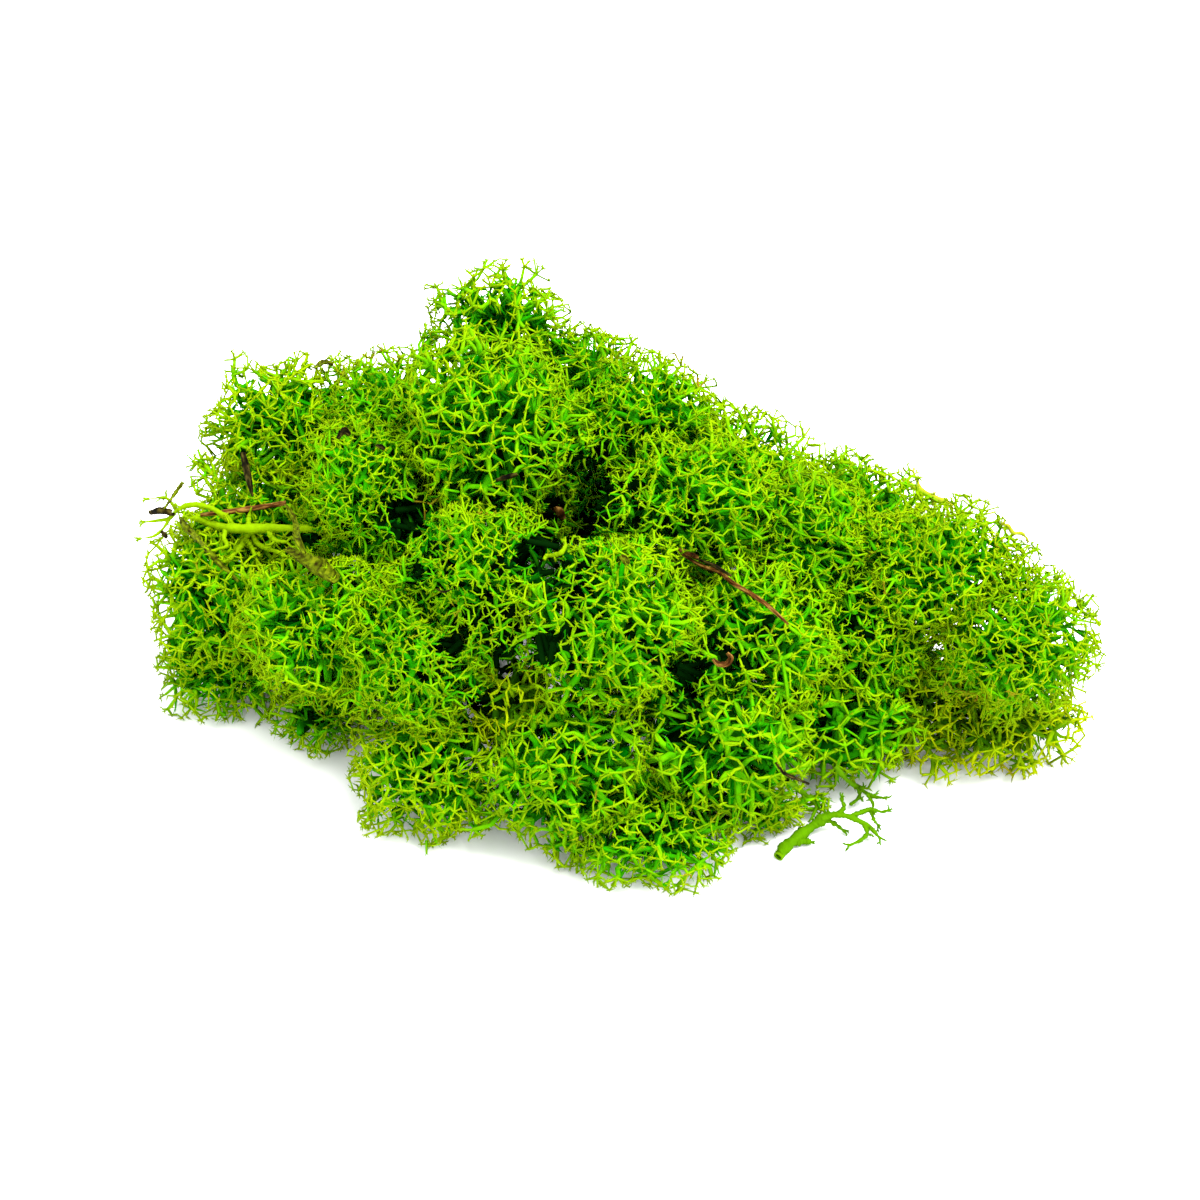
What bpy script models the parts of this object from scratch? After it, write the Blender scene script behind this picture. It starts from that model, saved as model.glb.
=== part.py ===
"""A clump of dyed reindeer lichen lying on a flat surface, with the needles, twigs and bark caught in it.

Blender 4.5, metres, +Z up. The origin is on the surface, under the middle of the clump.
Each cushion of the lichen is one solid that reaches the tips of its branches.
"""

import math

import bmesh
import bpy
import numpy as np
from mathutils import Vector
from mathutils.bvhtree import BVHTree
from mathutils.geometry import intersect_point_line

MM = 0.001
GAP = 0.3 * MM
SEED = 11

# Everything that shows is placed as it is seen from above the front, in millimetres across and up from
# the middle of the view.
VIEW_ELEVATION = math.radians(40)
VIEW_DISTANCE = 900 * MM
VIEW_CENTRE = Vector((-2.98 * MM, 21.85 * MM, 0))

# The shape of a cushion, as shares of its half widths: a ball, round lobes that stand out of it, and one
# that reaches down to where its stems come from.
BALL_SHARE = 0.8
LOBE_OFFSET = 0.62
LOBE_RADIUS = 0.42
LOBE_SPACING = math.radians(50)
LOBE_JITTER = 0.16
STEM_OFFSET_SHARE = 0.6
STEM_RADIUS = 0.85
STEM_FOOT_Y = 5 * MM
STEM_FOOT_HEIGHT = 6 * MM
STEM_FOOT_SPREAD = 0.75
FACET = 5.8 * MM
POINTS_PER_FACET = 1.15
FLAT_ANGLE = math.radians(1)
LEAST_REACH = 1e-9

# name: across, up, height of the middle, then half widths in x, y and z, all in millimetres
SEEN_TUFTS = {
    "left_lace_tuft": (-62.5, 35, 41, 17, 12.5, 13),
    "left_back_tuft": (-50, 36.5, 40, 13, 12, 11),
    "left_middle_tuft": (-45, 21, 45, 15.5, 14.5, 15.5),
    "left_hollow_tuft": (-69, 13, 26, 17, 15, 14),
    "left_end_tuft": (-77, 0, 21, 14.5, 15, 15),
    "left_foot_tuft": (-74.5, -13, 7, 15, 12.5, 10),
    "left_front_tuft": (-55, -6, 30, 17.5, 15, 15.5),
    "left_inner_tuft": (-37, -11, 32, 15, 15, 16),
    "left_shaded_tuft": (-56, -23, 5.5, 9.5, 9, 8.5),
    "peak_tuft": (-19.5, 55, 60, 14, 12, 12),
    "crown_tuft": (-22.5, 32, 55, 20, 18, 20),
    "crown_left_tuft": (-40, 38, 50, 13, 13, 13),
    "crown_right_tuft": (8, 36, 52, 17, 14, 13),
    "centre_left_tuft": (-25, 1, 41, 16, 16, 18),
    "centre_tuft": (2, -5, 43, 18, 17, 18),
    "centre_right_tuft": (20, 19, 49, 20, 15, 14),
    "sprig_tuft": (-17, -21, 23, 9, 10, 10),
    "front_lace_tuft": (-34, -34, 10, 16.5, 14, 14.5),
    "front_left_tuft": (-7, -33, 17, 19, 16, 19),
    "front_foot_tuft": (10, -46, 7, 18, 13, 10.5),
    "front_tuft": (24, -28, 20, 20, 17, 19),
    "front_right_foot_tuft": (28.5, -39.8, 5, 12, 8.5, 10),
    "front_right_tuft": (49, -23, 13, 16, 15, 15),
    "front_inner_tuft": (30, -9, 35, 17, 16, 15),
    "right_head_tuft": (68, 5, 38, 18, 15, 14),
    "right_end_tuft": (82.5, -9, 29, 16, 15, 16),
    "right_valley_tuft": (52, -7, 27, 16, 15, 15),
    "right_foot_tuft": (80, -24, 7, 17.5, 12, 10.5),
    "right_inner_foot_tuft": (63, -21, 9, 15, 13, 12),
    "right_shoulder_tuft": (41, 11, 41, 16, 15, 14),
    "back_ridge_tuft": (28, 24.5, 43, 15, 14, 12),
    "back_right_tuft": (50, 17, 33, 16, 13, 11.5),
    "back_crown_tuft": (-4, 44, 50, 13, 13, 11),
}

# name: x and y from the middle of the view, height, then half widths in x, y and z, all in millimetres
HIDDEN_TUFTS = {
    "back_left_tuft": (-58, 20, 16, 19, 16, 17),
    "back_middle_tuft": (-20, 22, 28, 20, 17, 20),
    "back_slope_tuft": (16, 13, 24, 17, 15, 16),
    "back_end_tuft": (58, 0, 12, 17, 13, 14),
    "back_left_foot_tuft": (-38, 30, 9, 18, 14, 13),
    "back_foot_tuft": (0, 30, 9, 20, 15, 13),
    "back_right_foot_tuft": (36, 18, 9, 19, 14, 13),
    "base_left_tuft": (-38, -22, 10, 22, 19, 13),
    "base_right_tuft": (14, -22, 12, 26, 20, 15),
}
OLIVE_TUFTS = ("right_foot_tuft", "right_inner_foot_tuft", "sprig_tuft")

# name: (base colour, roughness)
FINISHES = {
    "lichen_green": ((0.16, 0.58, 0.01), 0.75),
    "lichen_olive": ((0.31, 0.36, 0.01), 0.75),
    "lichen_yellow": ((0.42, 0.45, 0.04), 0.7),
    "needle_red": ((0.26, 0.09, 0.035), 0.55),
    "bark_brown": ((0.07, 0.045, 0.035), 0.85),
    "bark_olive": ((0.21, 0.2, 0.03), 0.8),
}

# What is caught in the clump is laid on it from the side that it is seen from, in the order of the table.
# Its points are across and up in millimetres, with a height where they stand clear of what is behind them.
LIFT_STEP = 0.1 * MM
MOST_LIFTS = 200
TUBE_SIDES = 6
SAMPLE_STEP = 0.6 * MM
CLEARANCE_SHARE = 1.1

# name: (finish, stiff or not, [arms]), where each arm is (points, radii in millimetres)
CAUGHT_PIECES = {
    "dark_needle": ("bark_brown", True, [([(-71.4, 29.4), (-69.5, 20.7)], [0.6, 0.25])]),
    "red_needle": ("needle_red", True, [([(-79.9, 17.0), (-62.8, 19.4)], [0.35, 0.42])]),
    "diagonal_twig": (
        "bark_olive",
        False,
        [
            (
                [(-83.9, 16.4), (-82.9, 14.7), (-81.1, 12.9), (-78.7, 10.3), (-76.4, 7.6), (-72.3, 3.7)],
                [0.5, 0.62, 0.6, 0.52, 0.5, 0.35],
            )
        ],
    ),
    "loose_stem": (
        "lichen_green",
        False,
        [
            (
                [
                    (-58.5, 14.2, 40),
                    (-62, 14.4, 39),
                    (-67, 14.3),
                    (-73.0, 14.3),
                    (-78, 15.2),
                    (-81.1, 16.5, 37.5),
                ],
                [0.75, 0.95, 1.0, 1.05, 0.8, 0.6],
            ),
            ([(-70.3, 14.4), (-70.2, 16.6), (-69.7, 18.6)], [0.5, 0.35, 0.2]),
            ([(-69.8, 14.0), (-70.0, 11.2), (-70.4, 8.6)], [0.45, 0.35, 0.2]),
            ([(-73.2, 13.8), (-74.0, 12.4), (-76.0, 10.8)], [0.45, 0.35, 0.2]),
        ],
    ),
    "loose_loop": (
        "lichen_green",
        False,
        [
            (
                [
                    (-75.0, 16.9, 38.5),
                    (-77.6, 18.3, 39.5),
                    (-80.0, 19.0, 40),
                    (-82.6, 18.9, 39.5),
                    (-84.6, 17.9, 38.5),
                    (-86.2, 16.3, 37),
                    (-88.4, 15.9, 36),
                    (-91.1, 15.6, 35.5),
                ],
                [0.6, 0.6, 0.65, 0.7, 0.55, 0.45, 0.3, 0.18],
            ),
            (
                [(-86.0, 16.5, 37.2), (-87.3, 14.4, 35.5), (-89.2, 12.8, 34), (-91.8, 12.3, 33.5)],
                [0.4, 0.35, 0.28, 0.18],
            ),
            ([(-84.7, 18.1, 38.4), (-86.8, 20.4, 38), (-90.2, 20.2, 37.5)], [0.4, 0.3, 0.18]),
        ],
    ),
    "bark_crumb": (
        "bark_brown",
        False,
        [([(-89.9, 17.4, 36), (-87.6, 17.8, 37), (-85.4, 17.4, 37.5)], [0.45, 0.65, 0.5])],
    ),
    "thin_twig": ("bark_olive", True, [([(-87.2, 18.2, 37), (-83.4, 23.6, 40)], [0.3, 0.36])]),
    "bark_curl": (
        "bark_olive",
        False,
        [
            (
                [
                    (-62.8, 10.3, 40),
                    (-60.5, 8.9, 40.5),
                    (-58.2, 7.6, 41),
                    (-55.9, 6.2, 41.5),
                    (-52.9, 4.1, 42),
                ],
                [0.7, 1.2, 1.5, 1.4, 0.8],
            )
        ],
    ),
    "bark_strip": (
        "bark_olive",
        False,
        [
            (
                [
                    (-62.9, 19.1, 43.5),
                    (-61.7, 17.3, 43),
                    (-60.8, 15.0, 42.5),
                    (-60.6, 12.4, 42),
                    (-59.1, 9.4, 41),
                ],
                [0.3, 0.45, 0.5, 0.6, 0.35],
            )
        ],
    ),
    "long_pine_needle": (
        "needle_red",
        False,
        [
            (
                [
                    (15.2, 9.9),
                    (20.4, 6.8),
                    (23.9, 5.5),
                    (26.7, 3.3),
                    (30.2, 1.2),
                    (33.4, -1.0),
                    (37.7, -4.9),
                ],
                [0.25, 0.36, 0.4, 0.42, 0.42, 0.4, 0.3],
            )
        ],
    ),
    "short_pine_needle": (
        "bark_brown",
        False,
        [([(19.4, 8.2, 49), (22.9, 6.8, 48.5), (26.3, 4.8, 47)], [0.2, 0.38, 0.25])],
    ),
    "front_twig": (
        "bark_brown",
        True,
        [
            (
                [(35.1, -32.5, 27.5), (37.0, -34.7, 25.5), (39.5, -35.8, 23.8), (41.8, -36.8, 22.5)],
                [0.25, 0.32, 0.32, 0.25],
            )
        ],
    ),
    "coiled_bark": (
        "needle_red",
        False,
        [
            (
                [(22.6, -11.8), (23.8, -12.9), (25.4, -12.8), (26.2, -11.6), (25.4, -10.6)],
                [0.4, 0.6, 0.6, 0.5, 0.3],
            )
        ],
    ),
    "yellow_strand": (
        "lichen_yellow",
        False,
        [
            (
                [
                    (60.5, 24.3, 23),
                    (62.5, 22.8, 24),
                    (65.0, 21.4, 24.5),
                    (67.2, 20.2, 24.5),
                    (69.6, 19.6, 24),
                ],
                [0.45, 0.65, 0.8, 0.8, 0.6],
            ),
            ([(64.2, 21.6, 24.5), (63.5, 23.7, 25), (62.7, 25.5, 25)], [0.45, 0.35, 0.2]),
        ],
    ),
    "brown_strand": (
        "lichen_yellow",
        False,
        [
            (
                [
                    (80.4, 15.2, 46),
                    (81.7, 14.8, 45.5),
                    (82.6, 13.4, 44.5),
                    (84.3, 13.3, 44),
                    (85.3, 12.4, 43),
                ],
                [0.3, 0.4, 0.45, 0.4, 0.25],
            )
        ],
    ),
}

# The broken branch beside the clump lies on the surface under it. Its points are across, up and height in
# millimetres. Each arm is (points, radii) again.
BRANCH_PIECES = {
    "stray_branch": (
        "lichen_green",
        [
            (
                [
                    (35.8, -51.4, 1.1),
                    (38.1, -48.6, 1.3),
                    (41.8, -45.7, 2.2),
                    (44.1, -44.1, 3.2),
                    (46.2, -42.8, 4.2),
                ],
                [0.95, 1.1, 1.0, 0.95, 0.8],
            ),
            ([(39.2, -47.8, 1.4), (40.6, -48.2, 1.2), (42.4, -48.6, 0.9)], [0.7, 0.6, 0.5]),
            ([(44.9, -43.6, 3.4), (47.0, -44.8, 2.0), (48.6, -46.0, 0.9)], [0.6, 0.5, 0.3]),
        ],
    ),
    "stray_branch_fork": (
        "lichen_green",
        [
            (
                [
                    (47.4, -42.9, 4.6),
                    (49.6, -43.3, 4.6),
                    (51.6, -44.1, 4.0),
                    (53.9, -45.4, 2.8),
                    (55.8, -47.4, 1.4),
                ],
                [0.65, 0.6, 0.5, 0.4, 0.25],
            ),
            (
                [(50.8, -43.7, 4.3), (53.3, -42.6, 4.6), (55.1, -42.2, 4.8), (56.6, -43.0, 4.2)],
                [0.4, 0.35, 0.3, 0.2],
            ),
            ([(52.6, -44.8, 3.4), (52.4, -47.0, 1.8), (49.8, -49.2, 0.8)], [0.35, 0.32, 0.25]),
            (
                [(47.8, -42.8, 4.6), (48.4, -41.0, 5.6), (49.6, -40.4, 6.4), (50.8, -38.6, 7.6)],
                [0.4, 0.35, 0.3, 0.25],
            ),
        ],
    ),
}


def clear_scene():
    for thing in list(bpy.data.objects):
        bpy.data.objects.remove(thing, do_unlink=True)


def eye():
    """Where the view is taken from."""
    towards = Vector((0, -math.cos(VIEW_ELEVATION), math.sin(VIEW_ELEVATION)))
    return VIEW_CENTRE + towards * VIEW_DISTANCE


def view_ray(across, up):
    """The direction from the eye to the point that is this far across and up, in millimetres."""
    upwards = Vector((0, math.sin(VIEW_ELEVATION), math.cos(VIEW_ELEVATION)))
    point = VIEW_CENTRE + Vector((across * MM, 0, 0)) + upwards * (up * MM)
    return (point - eye()).normalized()


def seen_at(across, up, height):
    """The point at that height, in millimetres, that is seen there."""
    ray = view_ray(across, up)
    return eye() + ray * ((height * MM - eye().z) / ray.z)


def even_directions(count):
    """Unit vectors spread evenly over a sphere, along a spiral."""
    turn = math.pi * (3 - math.sqrt(5))
    index = np.arange(count)
    z = 1 - 2 * (index + 0.5) / count
    ring = np.sqrt(1 - z * z)
    return np.stack([ring * np.cos(index * turn), ring * np.sin(index * turn), z], axis=1)


def lobe_directions(random):
    """Where the lobes of one cushion stand: evenly spread, then each moved a little."""
    count = round(4 * math.pi / LOBE_SPACING**2)
    directions = even_directions(count) + random.normal(0, LOBE_JITTER, (count, 3))
    return directions / np.linalg.norm(directions, axis=1, keepdims=True)


def reach_of_balls(directions, centres, radii):
    """How far a ray from the origin in each direction stays inside some ball, or 0 for a miss."""
    along = directions @ centres.T
    inside = along**2 - (centres**2).sum(axis=1) + radii**2
    reach = np.where(inside > 0, along + np.sqrt(np.maximum(inside, 0)), 0)
    return reach.max(axis=1)


def lumpy_reach(directions, centre, half, random):
    """How far a cushion reaches in each direction, as a share of its half widths."""
    lobes = lobe_directions(random) * LOBE_OFFSET
    foot = np.array([centre[0] * STEM_FOOT_SPREAD, STEM_FOOT_Y, STEM_FOOT_HEIGHT])
    stem = (foot - centre) / half * STEM_OFFSET_SHARE
    centres = np.vstack([lobes, stem])
    radii = np.append(np.full(len(lobes), LOBE_RADIUS), STEM_RADIUS)
    return np.maximum(reach_of_balls(directions, centres, radii), BALL_SHARE)


def tuft_places():
    """name: (centre, half widths) of every cushion."""
    places = {}
    for name, (across, up, height, *half) in SEEN_TUFTS.items():
        places[name] = (np.array(seen_at(across, up, height)), np.array(half) * MM)
    for name, (x, y, height, *half) in HIDDEN_TUFTS.items():
        centre = np.array(VIEW_CENTRE) + np.array([x, y, height]) * MM
        places[name] = (centre, np.array(half) * MM)
    return places


def walls_between(name, places):
    """(normal, distance from the centre) of the planes where this cushion meets what is beside it."""
    centre, half = places[name]
    walls = [(np.array([0, 0, -1.0]), centre[2])]
    for other, (other_centre, other_half) in places.items():
        if other == name:
            continue
        step = other_centre - centre
        distance = np.linalg.norm(step)
        normal = step / distance
        reach = 1 / np.linalg.norm(normal / half)
        other_reach = 1 / np.linalg.norm(normal / other_half)
        walls.append((normal, distance * reach / (reach + other_reach) - GAP / 2))
    return walls


def tuft_mesh(name, places, random):
    """A lumpy cushion, flattened by the surface under it and by the cushions beside it."""
    centre, half = places[name]
    area = 4 * math.pi * half.mean() ** 2
    directions = even_directions(round(area / FACET**2 * POINTS_PER_FACET))
    offsets = directions * half
    offsets *= lumpy_reach(directions, centre, half, random)[:, None]
    for normal, distance in walls_between(name, places):
        towards = np.maximum(offsets @ normal, LEAST_REACH)
        offsets *= np.minimum(distance / towards, 1)[:, None]
    mesh = bmesh.new()
    for direction in directions:
        mesh.verts.new(direction)
    bmesh.ops.convex_hull(mesh, input=mesh.verts)
    mesh.verts.ensure_lookup_table()
    for vert, offset in zip(mesh.verts, offsets):
        vert.co = centre + offset
    bmesh.ops.dissolve_limit(mesh, angle_limit=FLAT_ANGLE, verts=mesh.verts, edges=mesh.edges)
    return mesh


def finish(name):
    """The Principled material of that name, made the first time it is asked for."""
    made = bpy.data.materials.get(name)
    if made is None:
        colour, roughness = FINISHES[name]
        made = bpy.data.materials.new(name)
        made.use_nodes = True
        shader = made.node_tree.nodes["Principled BSDF"]
        shader.inputs["Base Color"].default_value = (*colour, 1)
        shader.inputs["Roughness"].default_value = roughness
    return made


def add_object(name, mesh, finish_name, smooth=False):
    """A named object of a bmesh, which is freed."""
    bmesh.ops.recalc_face_normals(mesh, faces=mesh.faces)
    data = bpy.data.meshes.new(name)
    mesh.to_mesh(data)
    mesh.free()
    data.materials.append(finish(finish_name))
    for face in data.polygons:
        face.use_smooth = smooth
    made = bpy.data.objects.new(name, data)
    bpy.context.scene.collection.objects.link(made)
    return made


def build_tufts():
    random = np.random.default_rng(SEED)
    places = tuft_places()
    for name in places:
        colour = "lichen_olive" if name in OLIVE_TUFTS else "lichen_green"
        add_object(name, tuft_mesh(name, places, random), colour)


def tube_mesh(points, radii):
    """A closed tube through the points, with flat ends. The rings keep their turn from one to the next."""
    mesh = bmesh.new()
    across = None
    rings = []
    for index, (point, radius) in enumerate(zip(points, radii)):
        before = points[max(index - 1, 0)]
        after = points[min(index + 1, len(points) - 1)]
        along = (after - before).normalized()
        if across is None:
            across = along.orthogonal()
        across = (across - along * across.dot(along)).normalized()
        beside = along.cross(across)
        ring = []
        for side in range(TUBE_SIDES):
            angle = math.tau * side / TUBE_SIDES
            outwards = across * math.cos(angle) + beside * math.sin(angle)
            ring.append(mesh.verts.new(point + outwards * radius))
        rings.append(ring)
    for first, second in zip(rings, rings[1:]):
        for side in range(TUBE_SIDES):
            beyond = (side + 1) % TUBE_SIDES
            mesh.faces.new((first[side], first[beyond], second[beyond], second[side]))
    mesh.faces.new(rings[0])
    mesh.faces.new(rings[-1])
    return mesh


def add_piece(name, arms, finish_name):
    """One solid of tubes that run into each other. The first arm is the object, and the rest fuse to it."""
    made = add_object(name, tube_mesh(*arms[0]), finish_name, smooth=True)
    for number, arm in enumerate(arms[1:], 2):
        fused = add_object(f"{name}_arm_{number}", tube_mesh(*arm), finish_name)
        fused.hide_render = True
        fused.display_type = "WIRE"
        union = made.modifiers.new(f"arm_{number}", "BOOLEAN")
        union.operation = "UNION"
        union.solver = "EXACT"
        union.object = fused
    return made


def surface_so_far():
    """The faces of every solid that is there already, to lay the next piece on."""
    points = []
    faces = []
    for thing in bpy.data.objects:
        first = len(points)
        points.extend(vert.co.copy() for vert in thing.data.vertices)
        faces.extend([first + corner for corner in face.vertices] for face in thing.data.polygons)
    return BVHTree.FromPolygons(points, faces)


def laid_point(surface, across, up, height=None):
    """Where the line of sight meets the surface, or the point at the height given on it."""
    if height is not None:
        return seen_at(across, up, height)
    return surface.ray_cast(eye(), view_ray(across, up))[0]


def is_clear(surface, point, clearance):
    """Whether a point is at least that far from the surface, on the side of the eye."""
    towards = point - eye()
    blocked = surface.ray_cast(eye(), towards.normalized(), towards.length)[0]
    return blocked is None and surface.find_nearest(point)[3] >= clearance


def lifted_until_clear(surface, points, radii, stiff):
    """Moves the points towards the eye until the tube through them clears the surface.

    A stiff one moves as a whole.
    """
    points = list(points)
    for _ in range(MOST_LIFTS):
        lift = set()
        for span in range(len(points) - 1):
            samples = math.ceil((points[span + 1] - points[span]).length / SAMPLE_STEP)
            for share in np.linspace(0, 1, samples + 1):
                point = points[span].lerp(points[span + 1], share)
                radius = radii[span] * (1 - share) + radii[span + 1] * share
                if not is_clear(surface, point, radius * CLEARANCE_SHARE + GAP):
                    lift |= {span, span + 1}
        if not lift:
            return points
        if stiff:
            lift = range(len(points))
        for index in lift:
            points[index] = points[index] + (eye() - points[index]).normalized() * LIFT_STEP
    return points


def nearest_on_path(path, point):
    """The point of the path that is nearest, for an arm to grow from."""
    best = None
    for first, second in zip(path, path[1:]):
        share = intersect_point_line(point, first, second)[1]
        found = first.lerp(second, min(max(share, 0), 1))
        if best is None or (found - point).length < (best - point).length:
            best = found
    return best


def joined_arms(arms):
    """The arms, with each after the first starting on the middle line of the first."""
    trunk = arms[0][0]
    for points, _ in arms[1:]:
        points[0] = nearest_on_path(trunk, points[0])
    return arms


def build_caught_pieces():
    for name, (finish_name, stiff, arms) in CAUGHT_PIECES.items():
        surface = surface_so_far()
        laid = []
        for view_points, radii_mm in arms:
            radii = [radius * MM for radius in radii_mm]
            points = [laid_point(surface, *point) for point in view_points]
            laid.append((lifted_until_clear(surface, points, radii, stiff), radii))
        add_piece(name, joined_arms(laid), finish_name)


def build_branch():
    for name, (finish_name, arms) in BRANCH_PIECES.items():
        placed = []
        for view_points, radii_mm in arms:
            points = [seen_at(*point) for point in view_points]
            placed.append((points, [radius * MM for radius in radii_mm]))
        add_piece(name, joined_arms(placed), finish_name)


def centre_on_origin():
    """Moves everything so that the origin is on the surface, under the middle of the clump."""
    corners = [vert.co for thing in bpy.data.objects for vert in thing.data.vertices]
    middle_x = (min(corner.x for corner in corners) + max(corner.x for corner in corners)) / 2
    middle_y = (min(corner.y for corner in corners) + max(corner.y for corner in corners)) / 2
    for thing in bpy.data.objects:
        for vert in thing.data.vertices:
            vert.co -= Vector((middle_x, middle_y, 0))


clear_scene()
build_tufts()
build_caught_pieces()
build_branch()
centre_on_origin()
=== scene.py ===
"""The looks of a clump of dyed reindeer lichen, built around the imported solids.

Each cushion becomes a net of branches. Its tips stand on the outside of the cushion's solid, and each group
of tips grows from a fork that lies deeper, down to a few main stems. What is caught in the clump is built
along the solid that stands for it.
"""

import math
from collections import namedtuple

import bpy
import numpy as np
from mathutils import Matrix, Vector
from mathutils.bvhtree import BVHTree


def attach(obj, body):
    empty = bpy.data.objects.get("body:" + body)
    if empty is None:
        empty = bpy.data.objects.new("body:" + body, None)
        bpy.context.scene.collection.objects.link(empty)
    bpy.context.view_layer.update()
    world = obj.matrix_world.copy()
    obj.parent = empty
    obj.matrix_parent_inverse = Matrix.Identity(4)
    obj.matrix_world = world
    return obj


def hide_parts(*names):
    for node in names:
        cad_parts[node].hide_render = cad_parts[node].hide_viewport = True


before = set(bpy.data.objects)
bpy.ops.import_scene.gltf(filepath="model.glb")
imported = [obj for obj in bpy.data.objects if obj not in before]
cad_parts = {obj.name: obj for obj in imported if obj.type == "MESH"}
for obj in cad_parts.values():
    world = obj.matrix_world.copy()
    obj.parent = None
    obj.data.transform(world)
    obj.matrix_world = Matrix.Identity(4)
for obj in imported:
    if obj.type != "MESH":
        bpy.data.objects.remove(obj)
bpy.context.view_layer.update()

MM = 0.001
SEED = 7

# The photograph's view. Places that are measured in it are in millimetres across and up from its middle.
VIEW_ELEVATION = math.radians(40)
VIEW_DISTANCE = 900 * MM
VIEW_WIDTH = 240 * MM
VIEW_CENTRE = Vector((-2.985 * MM, 21.02 * MM, 0))
SENSOR_WIDTH = 36
RIGHT = np.array((1.0, 0.0, 0.0))
TOWARDS = np.array((0.0, -math.cos(VIEW_ELEVATION), math.sin(VIEW_ELEVATION)))
UPWARD = np.cross(TOWARDS, RIGHT)
EYE = np.array(VIEW_CENTRE) + TOWARDS * VIEW_DISTANCE

# The tips of the branches stand this far apart on a cushion, and further apart by these shares where the
# photograph doesn't see it and on its underside. A facing runs from -1 to 1, straight towards the eye or up.
TIP_SPACING = 0.74 * MM
TIP_CANDIDATES = 5
TIP_SHIFT = 0.3
UNSEEN_ROOM = 2.1
UNSEEN_FACING = -0.25
SEEN_ROOM = 1.5
UNDERSIDE_ROOM = 1.4
UNDERSIDE_FACING = -0.6
LACE_FACING = 0.3

# The levels of a cushion, from the tips over the forks under them to the root: distance between neighbours,
# depth under the tips, radius of the branch, how far its depth varies, rings and sides of its tube.
Level = namedtuple("Level", "spacing depth radius lift rings sides")
TIP = Level(0, 0, 0.05 * MM, 0.14 * MM, 2, 3)
FORKS = (
    Level(1.4 * MM, 0.45 * MM, 0.18 * MM, 0.2 * MM, 2, 3),
    Level(2.6 * MM, 1.25 * MM, 0.27 * MM, 0.4 * MM, 3, 4),
    Level(4.8 * MM, 2.8 * MM, 0.43 * MM, 0.8 * MM, 4, 5),
    Level(9.0 * MM, 5.8 * MM, 0.75 * MM, 0.0, 5, 6),
)
ROOT = Level(0, 13 * MM, 1.3 * MM, 0, 5, 7)
LEVELS = (TIP, *FORKS, ROOT)
ROOT_HEIGHT = 2 * MM
FORK_SHIFT = 0.16
# A branch this deep under the tips gets the dark end of its colour ramp: painted shade.
DEEPEST = 10 * MM
RIPPLE_WAVES = 8
RIPPLE_LENGTH = 9 * MM
RIPPLE_HEIGHT = 1.7 * MM
VALLEY_FILL = 1.3 * MM
MOST_LIFT = 1.5
PROUD_LEVEL = 2
PROUD_SHARE = 0.04
PROUD_HEIGHT = 1.0 * MM
SWEEP = 0.4
WOBBLE = 0.11

# How thick a branch is: the powers that its cushion's thickness counts with, from the tips inwards, how it
# varies, how much thicker more room makes it, the level from which it is thinner in a small cushion, and how
# it tapers from the fork that it grows from.
THICKNESS_POWERS = (0.4, 0.4, 1, 0.6, 0.6)
THICKNESS_RANGE = (0.85, 1.15)
ROOM_THICKNESS = 0.5
BULK_LEVEL = 3
TAPER = 0.78
TIP_TAPER = 0.95

# Short side branches with two tips each, which fill the room under the outer net, in the seams between the
# cushions and in the gaps. They get painted shade that grows with depth, and more in the seams and gaps.
OUTER_SIDE_SHARE = 0.5
OUTER_SIDE_DEPTHS = (0.8 * MM, 2.8 * MM)
SIDE_AREA = 9 * MM**2
SIDE_DEPTHS = (1.5 * MM, 6.5 * MM)
SIDE_HOLD = 1.5 * MM
SIDE_LENGTH = 1.8 * MM
SIDE_STRETCH = 0.6
SIDE_RADIUS = 0.19 * MM
SIDE_RANGE = (0.7, 1.3)
SIDE_THICKNESS = 0.45
SIDE_TAPER = 0.68
SIDE_GROWTH = 0.3 / MM
SIDE_SHIFT = 0.5 * MM
SIDE_FLOOR = 0.8 * MM
SIDE_PAINTED_SHADE = 0.06
SIDE_SHADE = 0.12
SIDE_TIPS = 2
SIDE_TIP_LENGTH = 0.9 * MM
SIDE_TIP_LEAN = 0.5 * MM
SIDE_TIP_TAPER = 0.5
SIDE_TIP_LIGHTER = 0.05
SEAM_DEPTHS = (-0.8 * MM, 3.0 * MM)
SEAM_PAINTED_SHADE = 0.25
SEAM_THICKNESS = 2.4

# Stout stems that cross the middle of a cushion. Depth and thickness are shares of its radius.
STEM_AREA = 10 * MM**2
STEM_DEPTHS = (0.16, 0.6)
STEM_START = 0.4
STEM_THICKNESS = 0.055
STEM_RANGE = (0.6, 1.25)
STEM_TAPER = 0.4
STEM_SWEEP = 0.6
STEM_WOBBLE = 0.08

# The rings and sides of the tubes of stems and links, and the sides of side branches and of gap stems.
THIN_RINGS = 3
THIN_SIDES = 3
GAP_STEM_SIDES = 5

# A cushion with this radius has branches of full thickness.
FULL_SIZE = 13 * MM

# A tip that the photograph sees has a spike at its side.
SPIKE_START = 0.4
SPIKE_LENGTH = 0.5 * MM
SPIKE_LEAN = 0.9
SPIKE_TAPER = 0.7

# Thin links between neighbouring forks, which close the net into rings here and there.
LINK_SHARE = 0.6
LINK_REACH = 1.7
LINK_RADIUS = 0.16 * MM
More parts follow.
